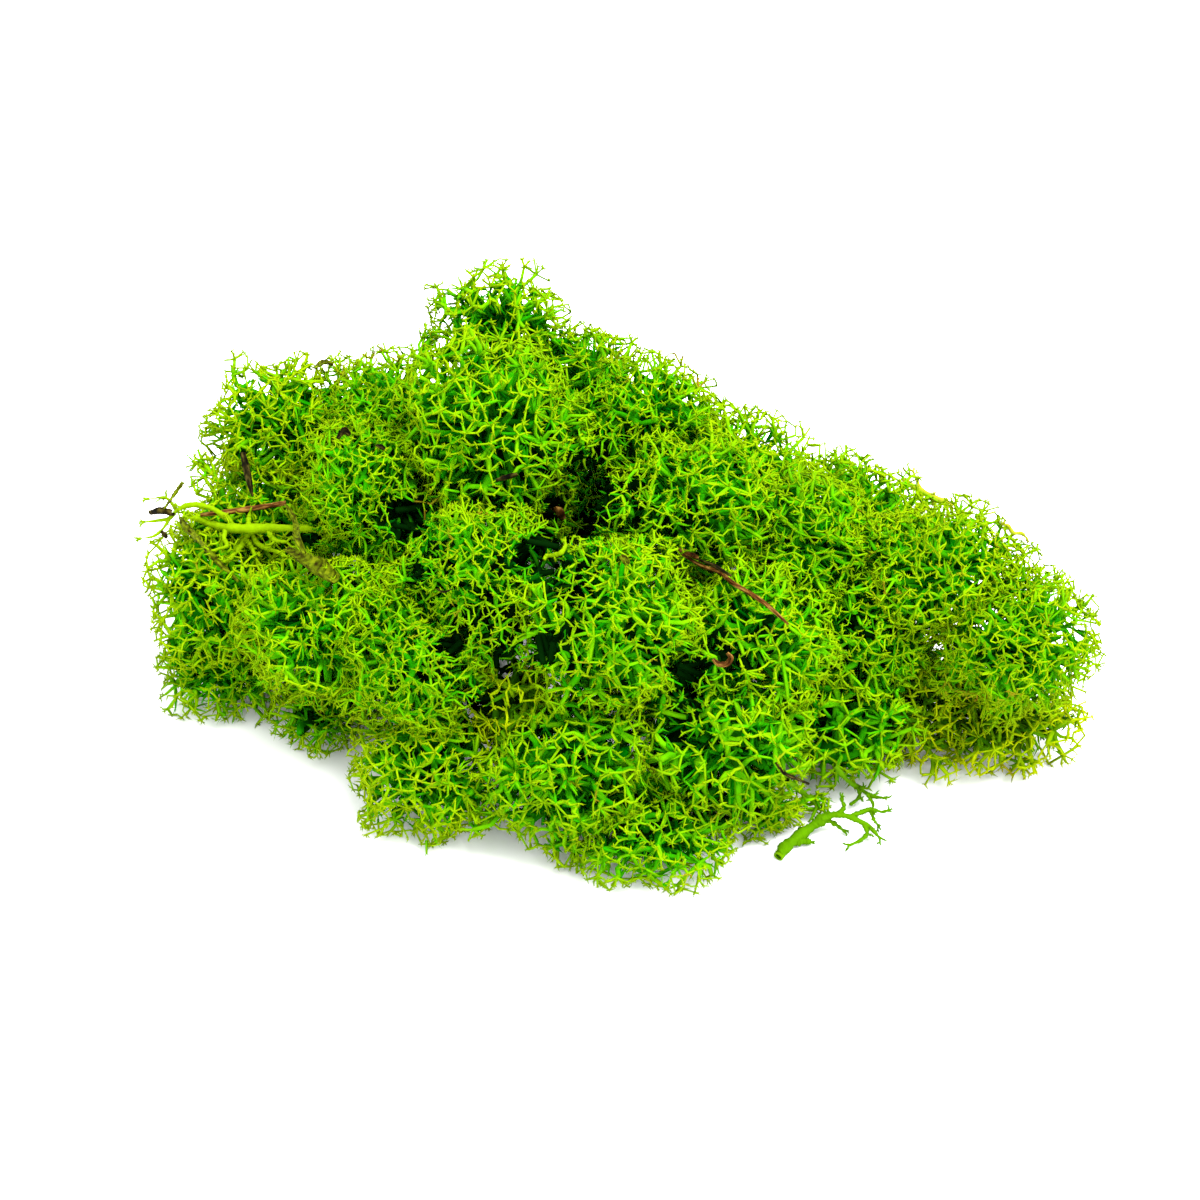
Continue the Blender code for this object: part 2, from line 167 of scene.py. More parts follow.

# How a cushion differs from the plainest one: distance between its tips, thickness of its branches, share of
# brown tips, how yellow it is, and how much its painted shade is lifted.
Style = namedtuple("Style", "spacing thickness brown yellow light")
STYLES = {
    "dense": Style(0.86, 0.95, 0.12, 0.1, 0.06),
    "fine": Style(0.92, 0.95, 0.05, 0.0, 0.01),
    "medium": Style(1.03, 1.15, 0.03, 0.1, 0.02),
    "net": Style(1.15, 1.35, 0.02, 0.1, 0.0),
    "bright": Style(1.15, 1.35, 0.02, 0.25, 0.08),
    "open": Style(1.25, 1.6, 0.04, 0.05, 0.0),
    "coarse": Style(1.5, 1.9, 0.0, 0.05, -0.02),
    "lace": Style(1.0, 1.2, 0.02, 0.35, 0.08),
    "brown": Style(0.95, 0.95, 0.14, 0.1, 0.0),
    "hidden": Style(1.42, 1.5, 0.0, 0.0, 0.0),
}

# The cushions of each kind, without the _tuft that ends their names. The others don't show in the photograph.
TUFTS = {
    "dense": ("right_head", "right_end"),
    "fine": ("left_middle", "left_inner", "crown_right", "centre_left"),
    "medium": (
        *("left_foot", "left_front", "left_shaded", "peak", "centre_right", "front_foot", "front_right_foot"),
        *("right_valley", "right_shoulder", "back_ridge", "back_right", "back_crown"),
    ),
    "net": ("crown", "centre", "front_inner"),
    "bright": ("left_hollow", "left_end"),
    "open": ("sprig", "front_left", "right_foot", "right_inner_foot"),
    "coarse": ("front", "front_right"),
    "lace": ("left_lace", "front_lace"),
    "brown": ("left_back", "crown_left"),
}
TUFT_STYLES = {tuft + "_tuft": style for style, tufts in TUFTS.items() for tuft in tufts}
OLIVE_TUFTS = ("right_foot_tuft", "right_inner_foot_tuft", "sprig_tuft")

# Where a cushion is open round a star of stout arms: across, up and reach in millimetres.
HEARTS = {
    "crown_tuft": (-30, 18, 10),
    "peak_tuft": (-22, 58, 8),
    "front_tuft": (6, -34, 12),
    "front_right_tuft": (44, -22, 9),
}
HEART_ROOM = 0.4
HEART_DEPTH = 1.5 * MM
HEART_THICKNESS = 0.5

# Gaps between the cushions, where no tips grow and the branches get painted shade: across, up and reach in
# millimetres. Where a gap ends, and over how much it fades before that, are shares of its reach.
GAPS = (
    (-38.0, 15.8, 3.8),
    (-12.3, 8.9, 4.2),
    (-1.6, 16.2, 2.8),
    (0.0, 21.5, 2.8),
    (-3.3, 27.3, 2.8),
    (-9.0, 18.3, 2.0),
    (18.1, -14.7, 3.0),
    (25.0, -12.2, 1.8),
    (-37.7, 5.5, 2.0),
    (-24.1, -20.0, 2.4),
    (-29.8, -8.7, 2.0),
    (-12.0, -10.0, 3.0),
    (-19.0, -12.0, 2.4),
    (-59.3, -22.8, 2.0),
    (-58.2, 12.4, 1.8),
    (51.1, -3.4, 1.8),
    (33.4, -3.3, 1.5),
)
GAP_END = 1.45
GAP_FADE = 0.5
GAP_DEPTH = 4 * MM
GAP_PAINTED_SHADE = 0.5

# Dark stems under a gap, which the surface would show through otherwise: their darkness is painted shade.
GAP_STEM_DEPTHS = (0.5 * MM, 6 * MM)
GAP_STEM_PAINTED_SHADE = 0.5
GAP_STEM_THICKNESS = 2.2
GAP_STEM_RADIUS = 0.6 * MM
GAP_STEM_SINK = (4 * MM, 9 * MM)
GAP_STEMS = 9

# Where a cushion swells out a little beyond its solid: across, up and reach in millimetres. A bulge has tips
# where it faces away from the solid, above the surface.
BULGE_FACING = -0.2
BULGE_FLOOR = 0.4 * MM
BULGE_REST = 0.6
BULGES = (
    ("left_hollow_tuft", -79.6, 27.5, 3.0),
    ("left_hollow_tuft", -79.2, 21.8, 3.0),
    ("left_hollow_tuft", -75.8, 25.0, 3.0),
    ("crown_left_tuft", -34.2, 52.6, 2.6),
    ("peak_tuft", -31.6, 60.2, 2.4),
    ("right_inner_foot_tuft", 63.0, -32.0, 2.4),
    ("right_inner_foot_tuft", 68.4, -32.8, 2.4),
    ("right_foot_tuft", 95.4, -23.4, 2.0),
    ("right_end_tuft", 96.0, -1.0, 2.0),
    ("front_right_foot_tuft", 43.0, -40.0, 2.8),
    ("front_right_foot_tuft", 38.2, -43.6, 2.8),
    ("front_right_foot_tuft", 35.6, -40.4, 3.0),
    ("front_right_foot_tuft", 32.6, -47.0, 2.6),
    ("right_head_tuft", 69.0, -6.5, 3.0),
    ("right_end_tuft", 83.5, 5.0, 2.6),
    ("front_left_tuft", -24.0, -45.6, 2.2),
)

# What is caught in the clump. An arm is its points: across, up and radius in millimetres. It lies where the
# solid of that name is. A sprig is a small bush on an arm: across, up and length in millimetres.
Caught = namedtuple("Caught", "kind finish arms sprigs", defaults=[()])
CAUGHT = {
    "dark_needle": Caught("needle", "bark_brown", [
        [(-71.4, 29.4, 0.5), (-71.0, 27.5, 0.66), (-70.3, 24.4, 0.68), (-69.5, 20.7, 0.2)],
    ]),
    "red_needle": Caught("needle", "needle_red", [
        [(-79.9, 17.0, 0.4), (-71.5, 18.0, 0.55), (-62.8, 19.4, 0.5)],
    ]),
    "thin_twig": Caught("twig", "bark_olive", [
        [(-87.2, 18.2, 0.2), (-85.3, 20.9, 0.34), (-83.4, 23.6, 0.36)],
    ]),
    "front_twig": Caught("twig", "bark_brown", [
        [(35.1, -32.5, 0.2), (37.0, -34.7, 0.33), (39.5, -35.8, 0.32), (41.8, -36.8, 0.2)],
    ]),
    "diagonal_twig": Caught("twig", "bark_olive", [
        [(-83.9, 16.4, 0.4), (-82.9, 14.7, 0.62), (-81.1, 12.9, 0.6), (-78.7, 10.3, 0.52),
         (-76.4, 7.6, 0.55), (-74.2, 5.6, 0.45), (-72.3, 3.7, 0.25)],
    ]),
    "long_pine_needle": Caught("needle", "needle_red", [
        [(15.2, 9.9, 0.22), (20.4, 6.8, 0.36), (23.9, 5.5, 0.42), (26.7, 3.3, 0.42), (30.2, 1.2, 0.45),
         (33.4, -1.0, 0.42), (37.7, -4.9, 0.2)],
    ]),
    "short_pine_needle": Caught("needle", "bark_brown", [
        [(19.4, 8.2, 0.15), (22.9, 6.8, 0.4), (26.3, 4.8, 0.2)],
    ]),
    "bark_crumb": Caught("flake", "bark_brown", [
        [(-89.9, 17.4, 0.7), (-87.6, 17.8, 0.95), (-85.4, 17.4, 0.7)],
    ]),
    "bark_curl": Caught("flake", "bark_olive", [
        [(-62.8, 10.3, 0.8), (-60.5, 8.9, 1.4), (-58.2, 7.6, 1.9), (-55.9, 6.2, 2.0), (-52.9, 4.1, 1.3)],
    ]),
    "bark_strip": Caught("flake", "bark_olive", [
        [(-62.9, 19.1, 0.3), (-61.7, 17.3, 0.55), (-60.8, 15.0, 0.6), (-60.6, 12.4, 0.8), (-59.1, 9.4, 0.4)],
    ]),
    "coiled_bark": Caught("flake", "needle_red", [
        [(22.6, -11.8, 0.4), (23.8, -12.9, 0.7), (25.4, -12.8, 0.7), (26.2, -11.6, 0.6), (25.4, -10.6, 0.3)],
    ]),
    "yellow_strand": Caught("stem", "lichen_yellow", [
        [(60.5, 24.3, 0.4), (62.5, 22.8, 0.6), (65.0, 21.4, 0.75), (67.2, 20.2, 0.7), (69.6, 19.6, 0.5)],
        [(64.2, 21.6, 0.42), (63.5, 23.7, 0.34), (62.7, 25.5, 0.15)],
    ], [
        (60.5, 24.3, 1.6), (69.6, 19.6, 1.6), (62.7, 25.5, 1.2), (66.5, 20.6, 1.5),
    ]),
    "brown_strand": Caught("stem", "lichen_yellow", [
        [(80.4, 15.2, 0.25), (81.7, 14.8, 0.36), (82.6, 13.4, 0.4), (84.3, 13.3, 0.36), (85.3, 12.4, 0.2)],
    ], [
        (80.4, 15.2, 1.0), (85.3, 12.4, 1.0),
    ]),
    "loose_stem": Caught("stem", "lichen_stem", [
        [(-52.0, 13.8, 0.3), (-55.4, 13.8, 0.5), (-58.5, 14.2, 0.6), (-62.0, 14.4, 0.75),
         (-67.0, 14.3, 0.8), (-73.0, 14.3, 0.95), (-78.0, 15.2, 0.75), (-81.1, 16.5, 0.45)],
        [(-70.3, 14.4, 0.65), (-70.2, 16.6, 0.4), (-69.7, 18.6, 0.1)],
        [(-70.0, 14.0, 0.75), (-71.2, 11.6, 0.6), (-73.0, 9.4, 0.45), (-74.4, 7.6, 0.3)],
        [(-69.8, 14.0, 0.6), (-68.6, 11.4, 0.52), (-66.2, 10.2, 0.42), (-63.6, 9.4, 0.25)],
        [(-70.8, 12.2, 0.5), (-69.6, 10.2, 0.42), (-68.6, 7.8, 0.25)],
        [(-74.8, 14.0, 0.55), (-75.2, 12.4, 0.48), (-74.6, 10.8, 0.4), (-76.4, 10.2, 0.25)],
        [(-66.4, 14.0, 0.5), (-65.0, 12.0, 0.42), (-62.6, 11.6, 0.25)],
    ], [
        (-74.4, 7.6, 3.5), (-73.0, 9.4, 3.5), (-63.6, 9.4, 3.5), (-66.2, 10.2, 3.5), (-68.6, 7.8, 3.5),
        (-69.6, 10.2, 3.0), (-76.4, 10.2, 3.0), (-81.1, 16.5, 2.0), (-62.6, 11.6, 3.0), (-65.0, 12.0, 2.5),
    ]),
    "loose_loop": Caught("stem", "lichen_stem", [
        [(-73.4, 15.0, 0.5), (-75.0, 16.7, 0.55), (-77.6, 18.3, 0.5), (-80.0, 19.0, 0.55),
         (-82.6, 18.9, 0.6), (-84.6, 17.9, 0.5), (-86.2, 16.3, 0.42), (-88.4, 15.9, 0.3),
         (-91.1, 15.6, 0.15)],
        [(-86.0, 16.5, 0.4), (-87.3, 14.4, 0.33), (-89.2, 12.8, 0.26), (-91.8, 12.3, 0.1)],
        [(-84.7, 18.1, 0.38), (-86.8, 20.4, 0.28), (-90.2, 20.2, 0.12)],
    ], [
        (-91.1, 15.6, 1.4), (-91.8, 12.3, 1.4), (-90.2, 20.2, 1.6), (-86.8, 20.4, 2.2), (-84.0, 18.3, 1.6),
    ]),
    "stray_branch": Caught("stem", "lichen_branch", [
        [(35.8, -51.4, 0.95), (38.1, -48.6, 1.05), (41.8, -45.7, 1.0), (44.1, -44.1, 0.95),
         (46.2, -42.8, 0.8)],
        [(38.6, -48.4, 0.85), (40.6, -48.2, 0.7), (42.2, -48.4, 0.55)],
        [(44.9, -43.6, 0.55), (47.0, -44.8, 0.45), (48.6, -46.0, 0.25)],
    ], [
        (48.6, -46.0, 1.4), (42.4, -48.6, 0.9),
    ]),
    "stray_branch_fork": Caught("stem", "lichen_branch", [
        [(44.4, -43.8, 0.7), (47.0, -42.9, 0.7), (49.6, -43.3, 0.6), (51.6, -44.1, 0.55),
         (53.9, -45.4, 0.45), (55.8, -47.4, 0.2)],
        [(49.4, -43.4, 0.5), (51.4, -42.8, 0.48), (54.1, -41.9, 0.42), (56.4, -42.4, 0.2)],
        [(52.8, -44.8, 0.45), (53.4, -46.6, 0.42), (52.2, -48.0, 0.36), (50.0, -49.0, 0.25)],
        [(47.8, -42.8, 0.5), (48.8, -41.4, 0.4), (48.4, -40.2, 0.3)],
        [(54.2, -42.0, 0.4), (54.8, -44.0, 0.35), (55.6, -45.0, 0.15)],
    ], [
        (55.8, -47.4, 1.6), (56.4, -42.4, 2.0), (50.0, -49.0, 1.4), (48.4, -40.2, 1.6), (54.1, -41.9, 2.2),
        (55.6, -45.0, 1.8), (53.9, -45.4, 1.8), (53.4, -46.6, 1.5), (51.4, -42.8, 1.5),
    ]),
}

# Small things that lie on the cushions or beside them, too small for a solid of their own.
LOOSE = {
    "crown_bark": Caught("flake", "bark_brown", [
        [(-20.8, 23.9, 0.35), (-18.8, 24.5, 0.6), (-16.5, 25.2, 0.35)],
    ]),
    "valley_bark": Caught("flake", "needle_red", [[(-9.3, 18.4, 0.7), (-8.2, 17.6, 1.0), (-7.4, 16.2, 0.6)]]),
    "shoulder_bark": Caught("flake", "bark_brown", [
        [(-52.4, 32.4, 0.5), (-51.2, 33.8, 0.8), (-50.2, 33.2, 0.5)],
    ]),
    "slope_flake": Caught("flake", "bark_brown", [
        [(-44.8, 31.0, 0.4), (-43.9, 30.7, 0.55), (-43.1, 30.2, 0.35)],
    ]),
    "rim_bark": Caught("flake", "bark_olive", [[(-57.0, 46.4, 0.5), (-55.2, 47.6, 0.7), (-53.4, 47.2, 0.5)]]),
    "end_flake": Caught("flake", "bark_brown", [
        [(-87.8, 13.8, 0.3), (-87.2, 13.2, 0.5), (-86.6, 12.4, 0.3)],
    ]),
    "needle_bark": Caught("flake", "needle_red", [[(15.4, 10.2, 0.4), (17.4, 9.4, 0.7), (19.6, 8.4, 0.4)]]),
    "hole_bark": Caught("flake", "bark_olive", [[(4.2, 9.0, 0.5), (4.8, 8.2, 0.8), (5.6, 7.2, 0.5)]]),
    "thread": Caught("twig", "bark_brown", [[(-32.6, 2.2, 0.15), (-31.2, 1.6, 0.2), (-29.6, 2.2, 0.12)]]),
    "hooked_stem": Caught("stem", "lichen_stem", [
        [(-11.2, 8.0, 0.25), (-10.6, 8.8, 0.42), (-9.0, 9.0, 0.42), (-7.6, 9.6, 0.45), (-6.8, 11.0, 0.3)],
    ], [
        (-6.8, 11.0, 1.6), (-9.0, 9.0, 1.2),
    ]),
    "hanging_arm": Caught("stem", "lichen_branch", [
        [(46.8, -33.0, 0.5), (49.4, -36.0, 0.45), (52.0, -37.8, 0.42), (54.4, -39.2, 0.36),
         (56.8, -39.6, 0.2)],
        [(51.6, -37.4, 0.4), (51.8, -39.4, 0.34), (50.0, -41.0, 0.3)],
        [(53.4, -38.8, 0.34), (54.6, -40.8, 0.3), (54.2, -42.4, 0.15)],
    ], [
        (56.8, -39.6, 1.6), (54.4, -39.2, 1.5), (52.0, -37.8, 1.5), (51.8, -39.4, 1.2),
    ]),
    "lower_arm": Caught("stem", "lichen_branch", [
        [(37.4, -36.0, 0.5), (40.6, -38.6, 0.46), (43.2, -41.0, 0.4), (42.4, -43.6, 0.25)],
    ], [
        (43.2, -41.0, 1.6), (40.6, -38.6, 1.6), (42.4, -43.6, 1.2),
    ]),
}
LOOSE_LIFT = 0.9 * MM

# The slots of the finishes that have another name, and the random numbers of the caught pieces and gap stems.
FINISH_SLOTS = {"lichen_stem": "lichen_green", "lichen_branch": "lichen_green"}
CAUGHT_STREAM = 1
GAP_STREAM = 2

# How an arm is built: rings, sides, roughness of its radius, and its colour.
ARM_RINGS = 44
ARM_SIDES = {"needle": 8, "twig": 11, "flake": 22, "stem": 11}
ROUGHNESS = {"needle": 0.05, "twig": 0.18, "flake": 0.05, "stem": 0.17}
ROUGH_RINGS = 5
ROUGH_GAIN = 1.6
ROUGH_ROOM = 1.35
ARM_DEEP = 0.16
ARM_TONE = 0.5

# A flake is a ribbon that curls over its width, in radians from its first ring to its last.
FLAKE_THICKNESS = 0.16 * MM
FLAKE_CURLS = (1.1, 1.9)
FLAKE_CURL_SPREAD = 0.1
FLAKE_EDGE_SPREAD = 0.07
FLAKE_BEND = 1.2

# A sprig: its arms at each place, how often they fork, and how long, thick and bent they are at each fork.
SPRIG_ARMS = 2
SPRIG_FORKS = 2
SPRIG_LENGTH = 0.55
SPRIG_RADIUS = 0.3 * MM
SPRIG_ONWARD = 0.3
SPRIG_END_LEAN = 0.6
SPRIG_BEND = 0.1
SPRIG_TAPER = (1.0, 0.85, 0.7)
SPRIG_SIDES = 6
SPRIG_NEXT_ARMS = (2, 4)
SPRIG_NEXT_LEAN = 0.55
SPRIG_NEXT_LENGTHS = (0.55, 0.8)
SPRIG_NEXT_RADIUS = 0.68
SPRIG_TIP_DEEP = 0.05

# The hollow cut end of the broken branch: steps along it and widths, as shares of its radius, and darkness,
# which grows into the hollow as painted shade.
HOLLOW_PIECE = "stray_branch"
HOLLOW_STEPS = (0.9, -0.3, -0.34, -0.1, 1.0)
HOLLOW_WIDTHS = (0.98, 1.06, 0.72, 0.6, 0.5)
HOLLOW_DEEP = (ARM_DEEP, 0.0, 0.0, 0.4, 1.0)
HOLLOW_SIDES = 14

# How a solid is read: the decimals of a millimetre to which its corners are joined, the share of the curve
# across its facets, the points where the air over it is measured, and the rays of each.
JOINED_DECIMALS = 3
CURVE_SHARE = 0.7
PROBES = 1250
PROBE_TURN = 3 * MM
LEAST_FREE = 0.05
OPEN_RAYS = 9
OPEN_TILT = math.radians(52)
OPEN_REACH = 25 * MM
OPEN_START = 0.3 * MM
SEEN_STARTS = (0.4 * MM, 2.5 * MM, 5 * MM)

# How deep the tips are sunk in their solid, before its ripples. Points are searched in batches, and a length
# isn't divided by less than the shortest.
SUNK = -0.2 * MM
BATCH = 4000
SHORTEST = 1e-12

# Everything clears the surface by a gap. A caught piece lies in the middle of its solid, or half of this
# depth under its outside. A line of sight that misses is searched this far before and behind the middle.
FLOOR_GAP = 0.12 * MM
MOST_INSIDE = 2.4 * MM
PASSING_MM = 100

# Colours are red, green and blue, at a depth from 0 at the tips to 1 at the deepest stems. The lichen ramps
# are yellower at the tips and darker deeper in, down to near black: that darkening is painted shade.
GREEN_RAMP = (
    (0.0, (0.145, 0.25, 0.0005)),
    (0.1, (0.115, 0.28, 0.0003)),
    (0.22, (0.07, 0.3, 0.0002)),
    (0.4, (0.014, 0.25, 0.0001)),
    (0.65, (0.001, 0.11, 0.0001)),
    (1.0, (0.0001, 0.008, 0.0001)),
)
STEM_RAMP = (
    (0.0, (0.18, 0.29, 0.0005)),
    (0.1, (0.145, 0.26, 0.0004)),
    (0.22, (0.105, 0.205, 0.0003)),
    (0.4, (0.02, 0.09, 0.0002)),
    (1.0, (0.0003, 0.012, 0.0001)),
)
BRANCH_RAMP = (
    (0.0, (0.085, 0.2, 0.0005)),
    (0.16, (0.05, 0.15, 0.0003)),
    (0.4, (0.01, 0.07, 0.0002)),
    (1.0, (0.0003, 0.012, 0.0001)),
)
OLIVE_RAMP = (
    (0.0, (0.24, 0.3, 0.0005)),
    (0.1, (0.175, 0.29, 0.0004)),
    (0.22, (0.11, 0.25, 0.0003)),
    (0.4, (0.04, 0.17, 0.0002)),
    (1.0, (0.001, 0.015, 0.0001)),
)
YELLOW_RAMP = (
    (0.0, (0.3, 0.3, 0.01)),
    (0.1, (0.24, 0.27, 0.01)),
    (0.4, (0.12, 0.16, 0.004)),
    (1.0, (0.03, 0.06, 0.002)),
)
NEEDLE_RAMP = ((0.34, (0.015, 0.004, 0.0005)), (0.5, (0.065, 0.022, 0.003)), (0.64, (0.2, 0.11, 0.02)))
BROWN_RAMP = ((0.38, (0.001, 0.0008, 0.0001)), (0.52, (0.008, 0.006, 0.0006)), (0.68, (0.05, 0.04, 0.006)))
BARK_RAMP = (
    (0.36, (0.012, 0.008, 0.0002)),
    (0.46, (0.04, 0.05, 0.0003)),
    (0.55, (0.065, 0.095, 0.0004)),
    (0.68, (0.13, 0.16, 0.002)),
)

# How yellow and how light a branch is, how much painted shade it gets where the air over it is closed in,
# and the patches where tips have dried to brown.
INNER_TONE = 0.5
TONE_SPREAD = 0.12
TONE_VALUES = (0.85, 1.12)
TONE_HUES = (0.504, 0.486)
SHADE = 0.05
PATCH_NOISE = (900, 2)
PATCH_VALUES = (0.8, 1.2)
BROWN_TIP = (0.15, 0.1, 0.004)
BROWN_PATCH = 9 * MM
BROWN_REACH = 4
BROWN_SHARPNESS = 1.5
BROWN_LEVELS = 2

# Fine grain: the noise's scale and detail, the relief's strength and height, the roughness where the grain is
# low and where it is high, and the specular level. Streaks run along bark: their length in millimetres.
Grain = namedtuple("Grain", "noise strength height roughness specular")
TIP_GRAIN = Grain((2500, 3), 0.4, 0.08 * MM, (0.65, 0.95), 0.01)
STEM_GRAIN = TIP_GRAIN._replace(height=0.3 * MM)
BARK_GRAIN = Grain((1300, 4), 0.8, 0.12 * MM, (0.6, 0.9), 0.03)
NEEDLE_GRAIN = BARK_GRAIN._replace(roughness=(0.5, 0.8))
STREAK_DETAIL = 6
NEEDLE_STREAK = 2.5
BROWN_STREAK = 1.8
OLIVE_STREAK = 1.2

# The surface, the soft lamp and the even light of the studio.
TABLE_COLOUR = (0.9, 0.9, 0.9)
TABLE_REACH = 3
TABLE_ROUGHNESS = 0.6
KEY_DIRECTION = (0.4, -0.15, 1.2)
KEY_STRENGTH = 7.2
KEY_SOFTNESS = math.radians(40)
STUDIO_STRENGTH = 2.6


def unit(vectors):
    """The same vectors with a length of one."""
    return vectors / np.maximum(np.linalg.norm(vectors, axis=-1, keepdims=True), SHORTEST)


def dot(a, b):
    return (a * b).sum(axis=-1, keepdims=True)


def crosswise(directions):
    """For each direction one that is square to it."""
    return np.cross(directions, np.eye(3)[np.abs(directions).argmin(axis=-1)])


def turns_of(sides):
    """The angles of that many corners round a circle."""
    return math.tau * np.arange(sides) / sides


def clear_floor(places, radii=0):
    """Lifts places so that a branch of those radii clears the surface."""
    places[..., 2] = np.maximum(places[..., 2], radii + FLOOR_GAP)


def solid_of(node):
    """Corners, triangles and corner normals of a CAD node, with the corners that coincide joined."""
    data = node.data
    data.calc_loop_triangles()
    corners = np.zeros(len(data.vertices) * 3)
    data.vertices.foreach_get("co", corners)
    triangles = np.zeros(len(data.loop_triangles) * 3, int)
    data.loop_triangles.foreach_get("vertices", triangles)
    corners = corners.reshape(-1, 3)
    triangles = triangles.reshape(-1, 3)
    rounded = np.round(corners / MM, JOINED_DECIMALS)
    _, first, joined = np.unique(rounded, axis=0, return_index=True, return_inverse=True)
    corners = corners[first]
    triangles = joined.ravel()[triangles]
    normals = np.zeros_like(corners)
    for k in range(3):
        np.add.at(normals, triangles[:, k], facet_normals(corners, triangles))
    return corners, triangles, unit(normals)


def facet_normals(corners, triangles):
    """The normal of each facet, as long as twice its area."""
    a, b, c = (corners[triangles[:, k]] for k in range(3))
    return np.cross(b - a, c - a)


def area_of(solid):
    corners, triangles, _ = solid
    return np.linalg.norm(facet_normals(corners, triangles), axis=1).sum() / 2


def size_of(solid):
    """The radius of a ball with the same surface."""
    return math.sqrt(area_of(solid) / (4 * math.pi))


def tree_of(solids):
    """One search tree of all the solids' faces."""
    corners = []
    faces = []
    for places, triangles, _ in solids:
        faces.extend(map(tuple, triangles + len(corners)))
        corners.extend(map(tuple, places))
    return BVHTree.FromPolygons(corners, faces)


def scattered(solid, count, random):
    """Random points on a surface that is curved across the facets of a solid, and their normals."""
    corners, triangles, normals = solid
    area = np.linalg.norm(facet_normals(corners, triangles), axis=1)
    chosen = random.choice(len(triangles), count, p=area / area.sum())
    shares = random.dirichlet((1, 1, 1), count)[..., None]
    places = corners[triangles[chosen]]
    leans = normals[triangles[chosen]]
    flat = (places * shares).sum(axis=1)
    heights = dot(flat[:, None] - places, leans)
    curved = flat - (shares * heights * leans).sum(axis=1) * CURVE_SHARE
    return curved, unit((leans * shares).sum(axis=1))


def spread_out(points, spacing):
    """Picks points so that none is nearer to another than its spacing, always taking the most distant one."""
    points = points.astype(np.float32)
    share = (1 / (np.zeros(len(points)) + spacing) ** 2).astype(np.float32)
    nearest = np.full(len(points), np.inf, np.float32)
    picked = []
    latest = 0
    while nearest[latest] > 1:
        picked.append(latest)
        step = points - points[latest]
        np.minimum(nearest, np.einsum("ij,ij->i", step, step) * share, out=nearest)
        latest = int(nearest.argmax())
    return np.array(picked)


def nearest_to(points, others):
    """For each point, which of the others is nearest."""
    found = np.zeros(len(points), int)
    for first in range(0, len(points), BATCH):
        part = points[first : first + BATCH]
        reach = (others**2).sum(axis=1)[None] - 2 * part @ others.T
        found[first : first + BATCH] = reach.argmin(axis=1)
    return found


def openness(points, normals, tree):
    """How much of the air over each point is free of the cushions beside it, from 0 to 1."""
    aside = unit(crosswise(normals))
    beside = np.cross(normals, aside)
    starts = points + normals * OPEN_START
    free = np.zeros(len(points))
    for ray in range(OPEN_RAYS):
        turn = math.tau * ray / (OPEN_RAYS - 1)
        tilt = OPEN_TILT if ray else 0
        level = aside * math.cos(turn) + beside * math.sin(turn)
        directions = normals * math.cos(tilt) + level * math.sin(tilt)
        for index, (start, direction) in enumerate(zip(starts.tolist(), directions.tolist())):
            free[index] += tree.ray_cast(start, direction, OPEN_REACH)[0] is None
    return free / OPEN_RAYS


def ripples(points, wavelength, random):
    """A smooth random value at each point, about -1 to 1, that changes over that distance."""
    waves = unit(random.normal(size=(RIPPLE_WAVES, 3))) * (math.tau / wavelength)
    phases = random.uniform(0, math.tau, RIPPLE_WAVES)
    return np.sin(points @ waves.T + phases).mean(axis=1) * 2


def seen_place(across, up):
    """The place of the photograph's view plane at that many millimetres across and up from its middle."""
    return np.array(VIEW_CENTRE) + (RIGHT * across + UPWARD * up) * MM


def in_view(points):
    """Where points show in the photograph, in millimetres across and up from its middle."""
    rays = points - EYE
    rays = rays * (VIEW_DISTANCE / -(rays @ TOWARDS))[:, None]
    offset = EYE + rays - np.array(VIEW_CENTRE)
    return np.stack([offset @ RIGHT, offset @ UPWARD], axis=1) / MM


def round_sections(radii, sides):
    """The outlines of round tubes: radii is (tube, ring)."""
    turns = turns_of(sides)
    return radii[..., None, None] * np.stack([np.cos(turns), np.sin(turns)], axis=-1)


def frames(paths):
    """Directions along, across and beside the paths, which turn as little as they can."""
    along = unit(np.gradient(paths, axis=1))
    across = np.zeros_like(along)
    side = crosswise(along[:, 0])
    for ring in range(paths.shape[1]):
        side = unit(side - along[:, ring] * dot(along[:, ring], side))
        across[:, ring] = side
    return across, np.cross(along, across)


def placed(name, data):
    """A new object in the scene."""
    made = bpy.data.objects.new(name, data)
    bpy.context.scene.collection.objects.link(made)
    return made


def rings_of(across, beside, sides):
    """Circles in the planes of two directions."""
    turns = turns_of(sides)[:, None]
    return across[..., None, :] * np.cos(turns) + beside[..., None, :] * np.sin(turns)


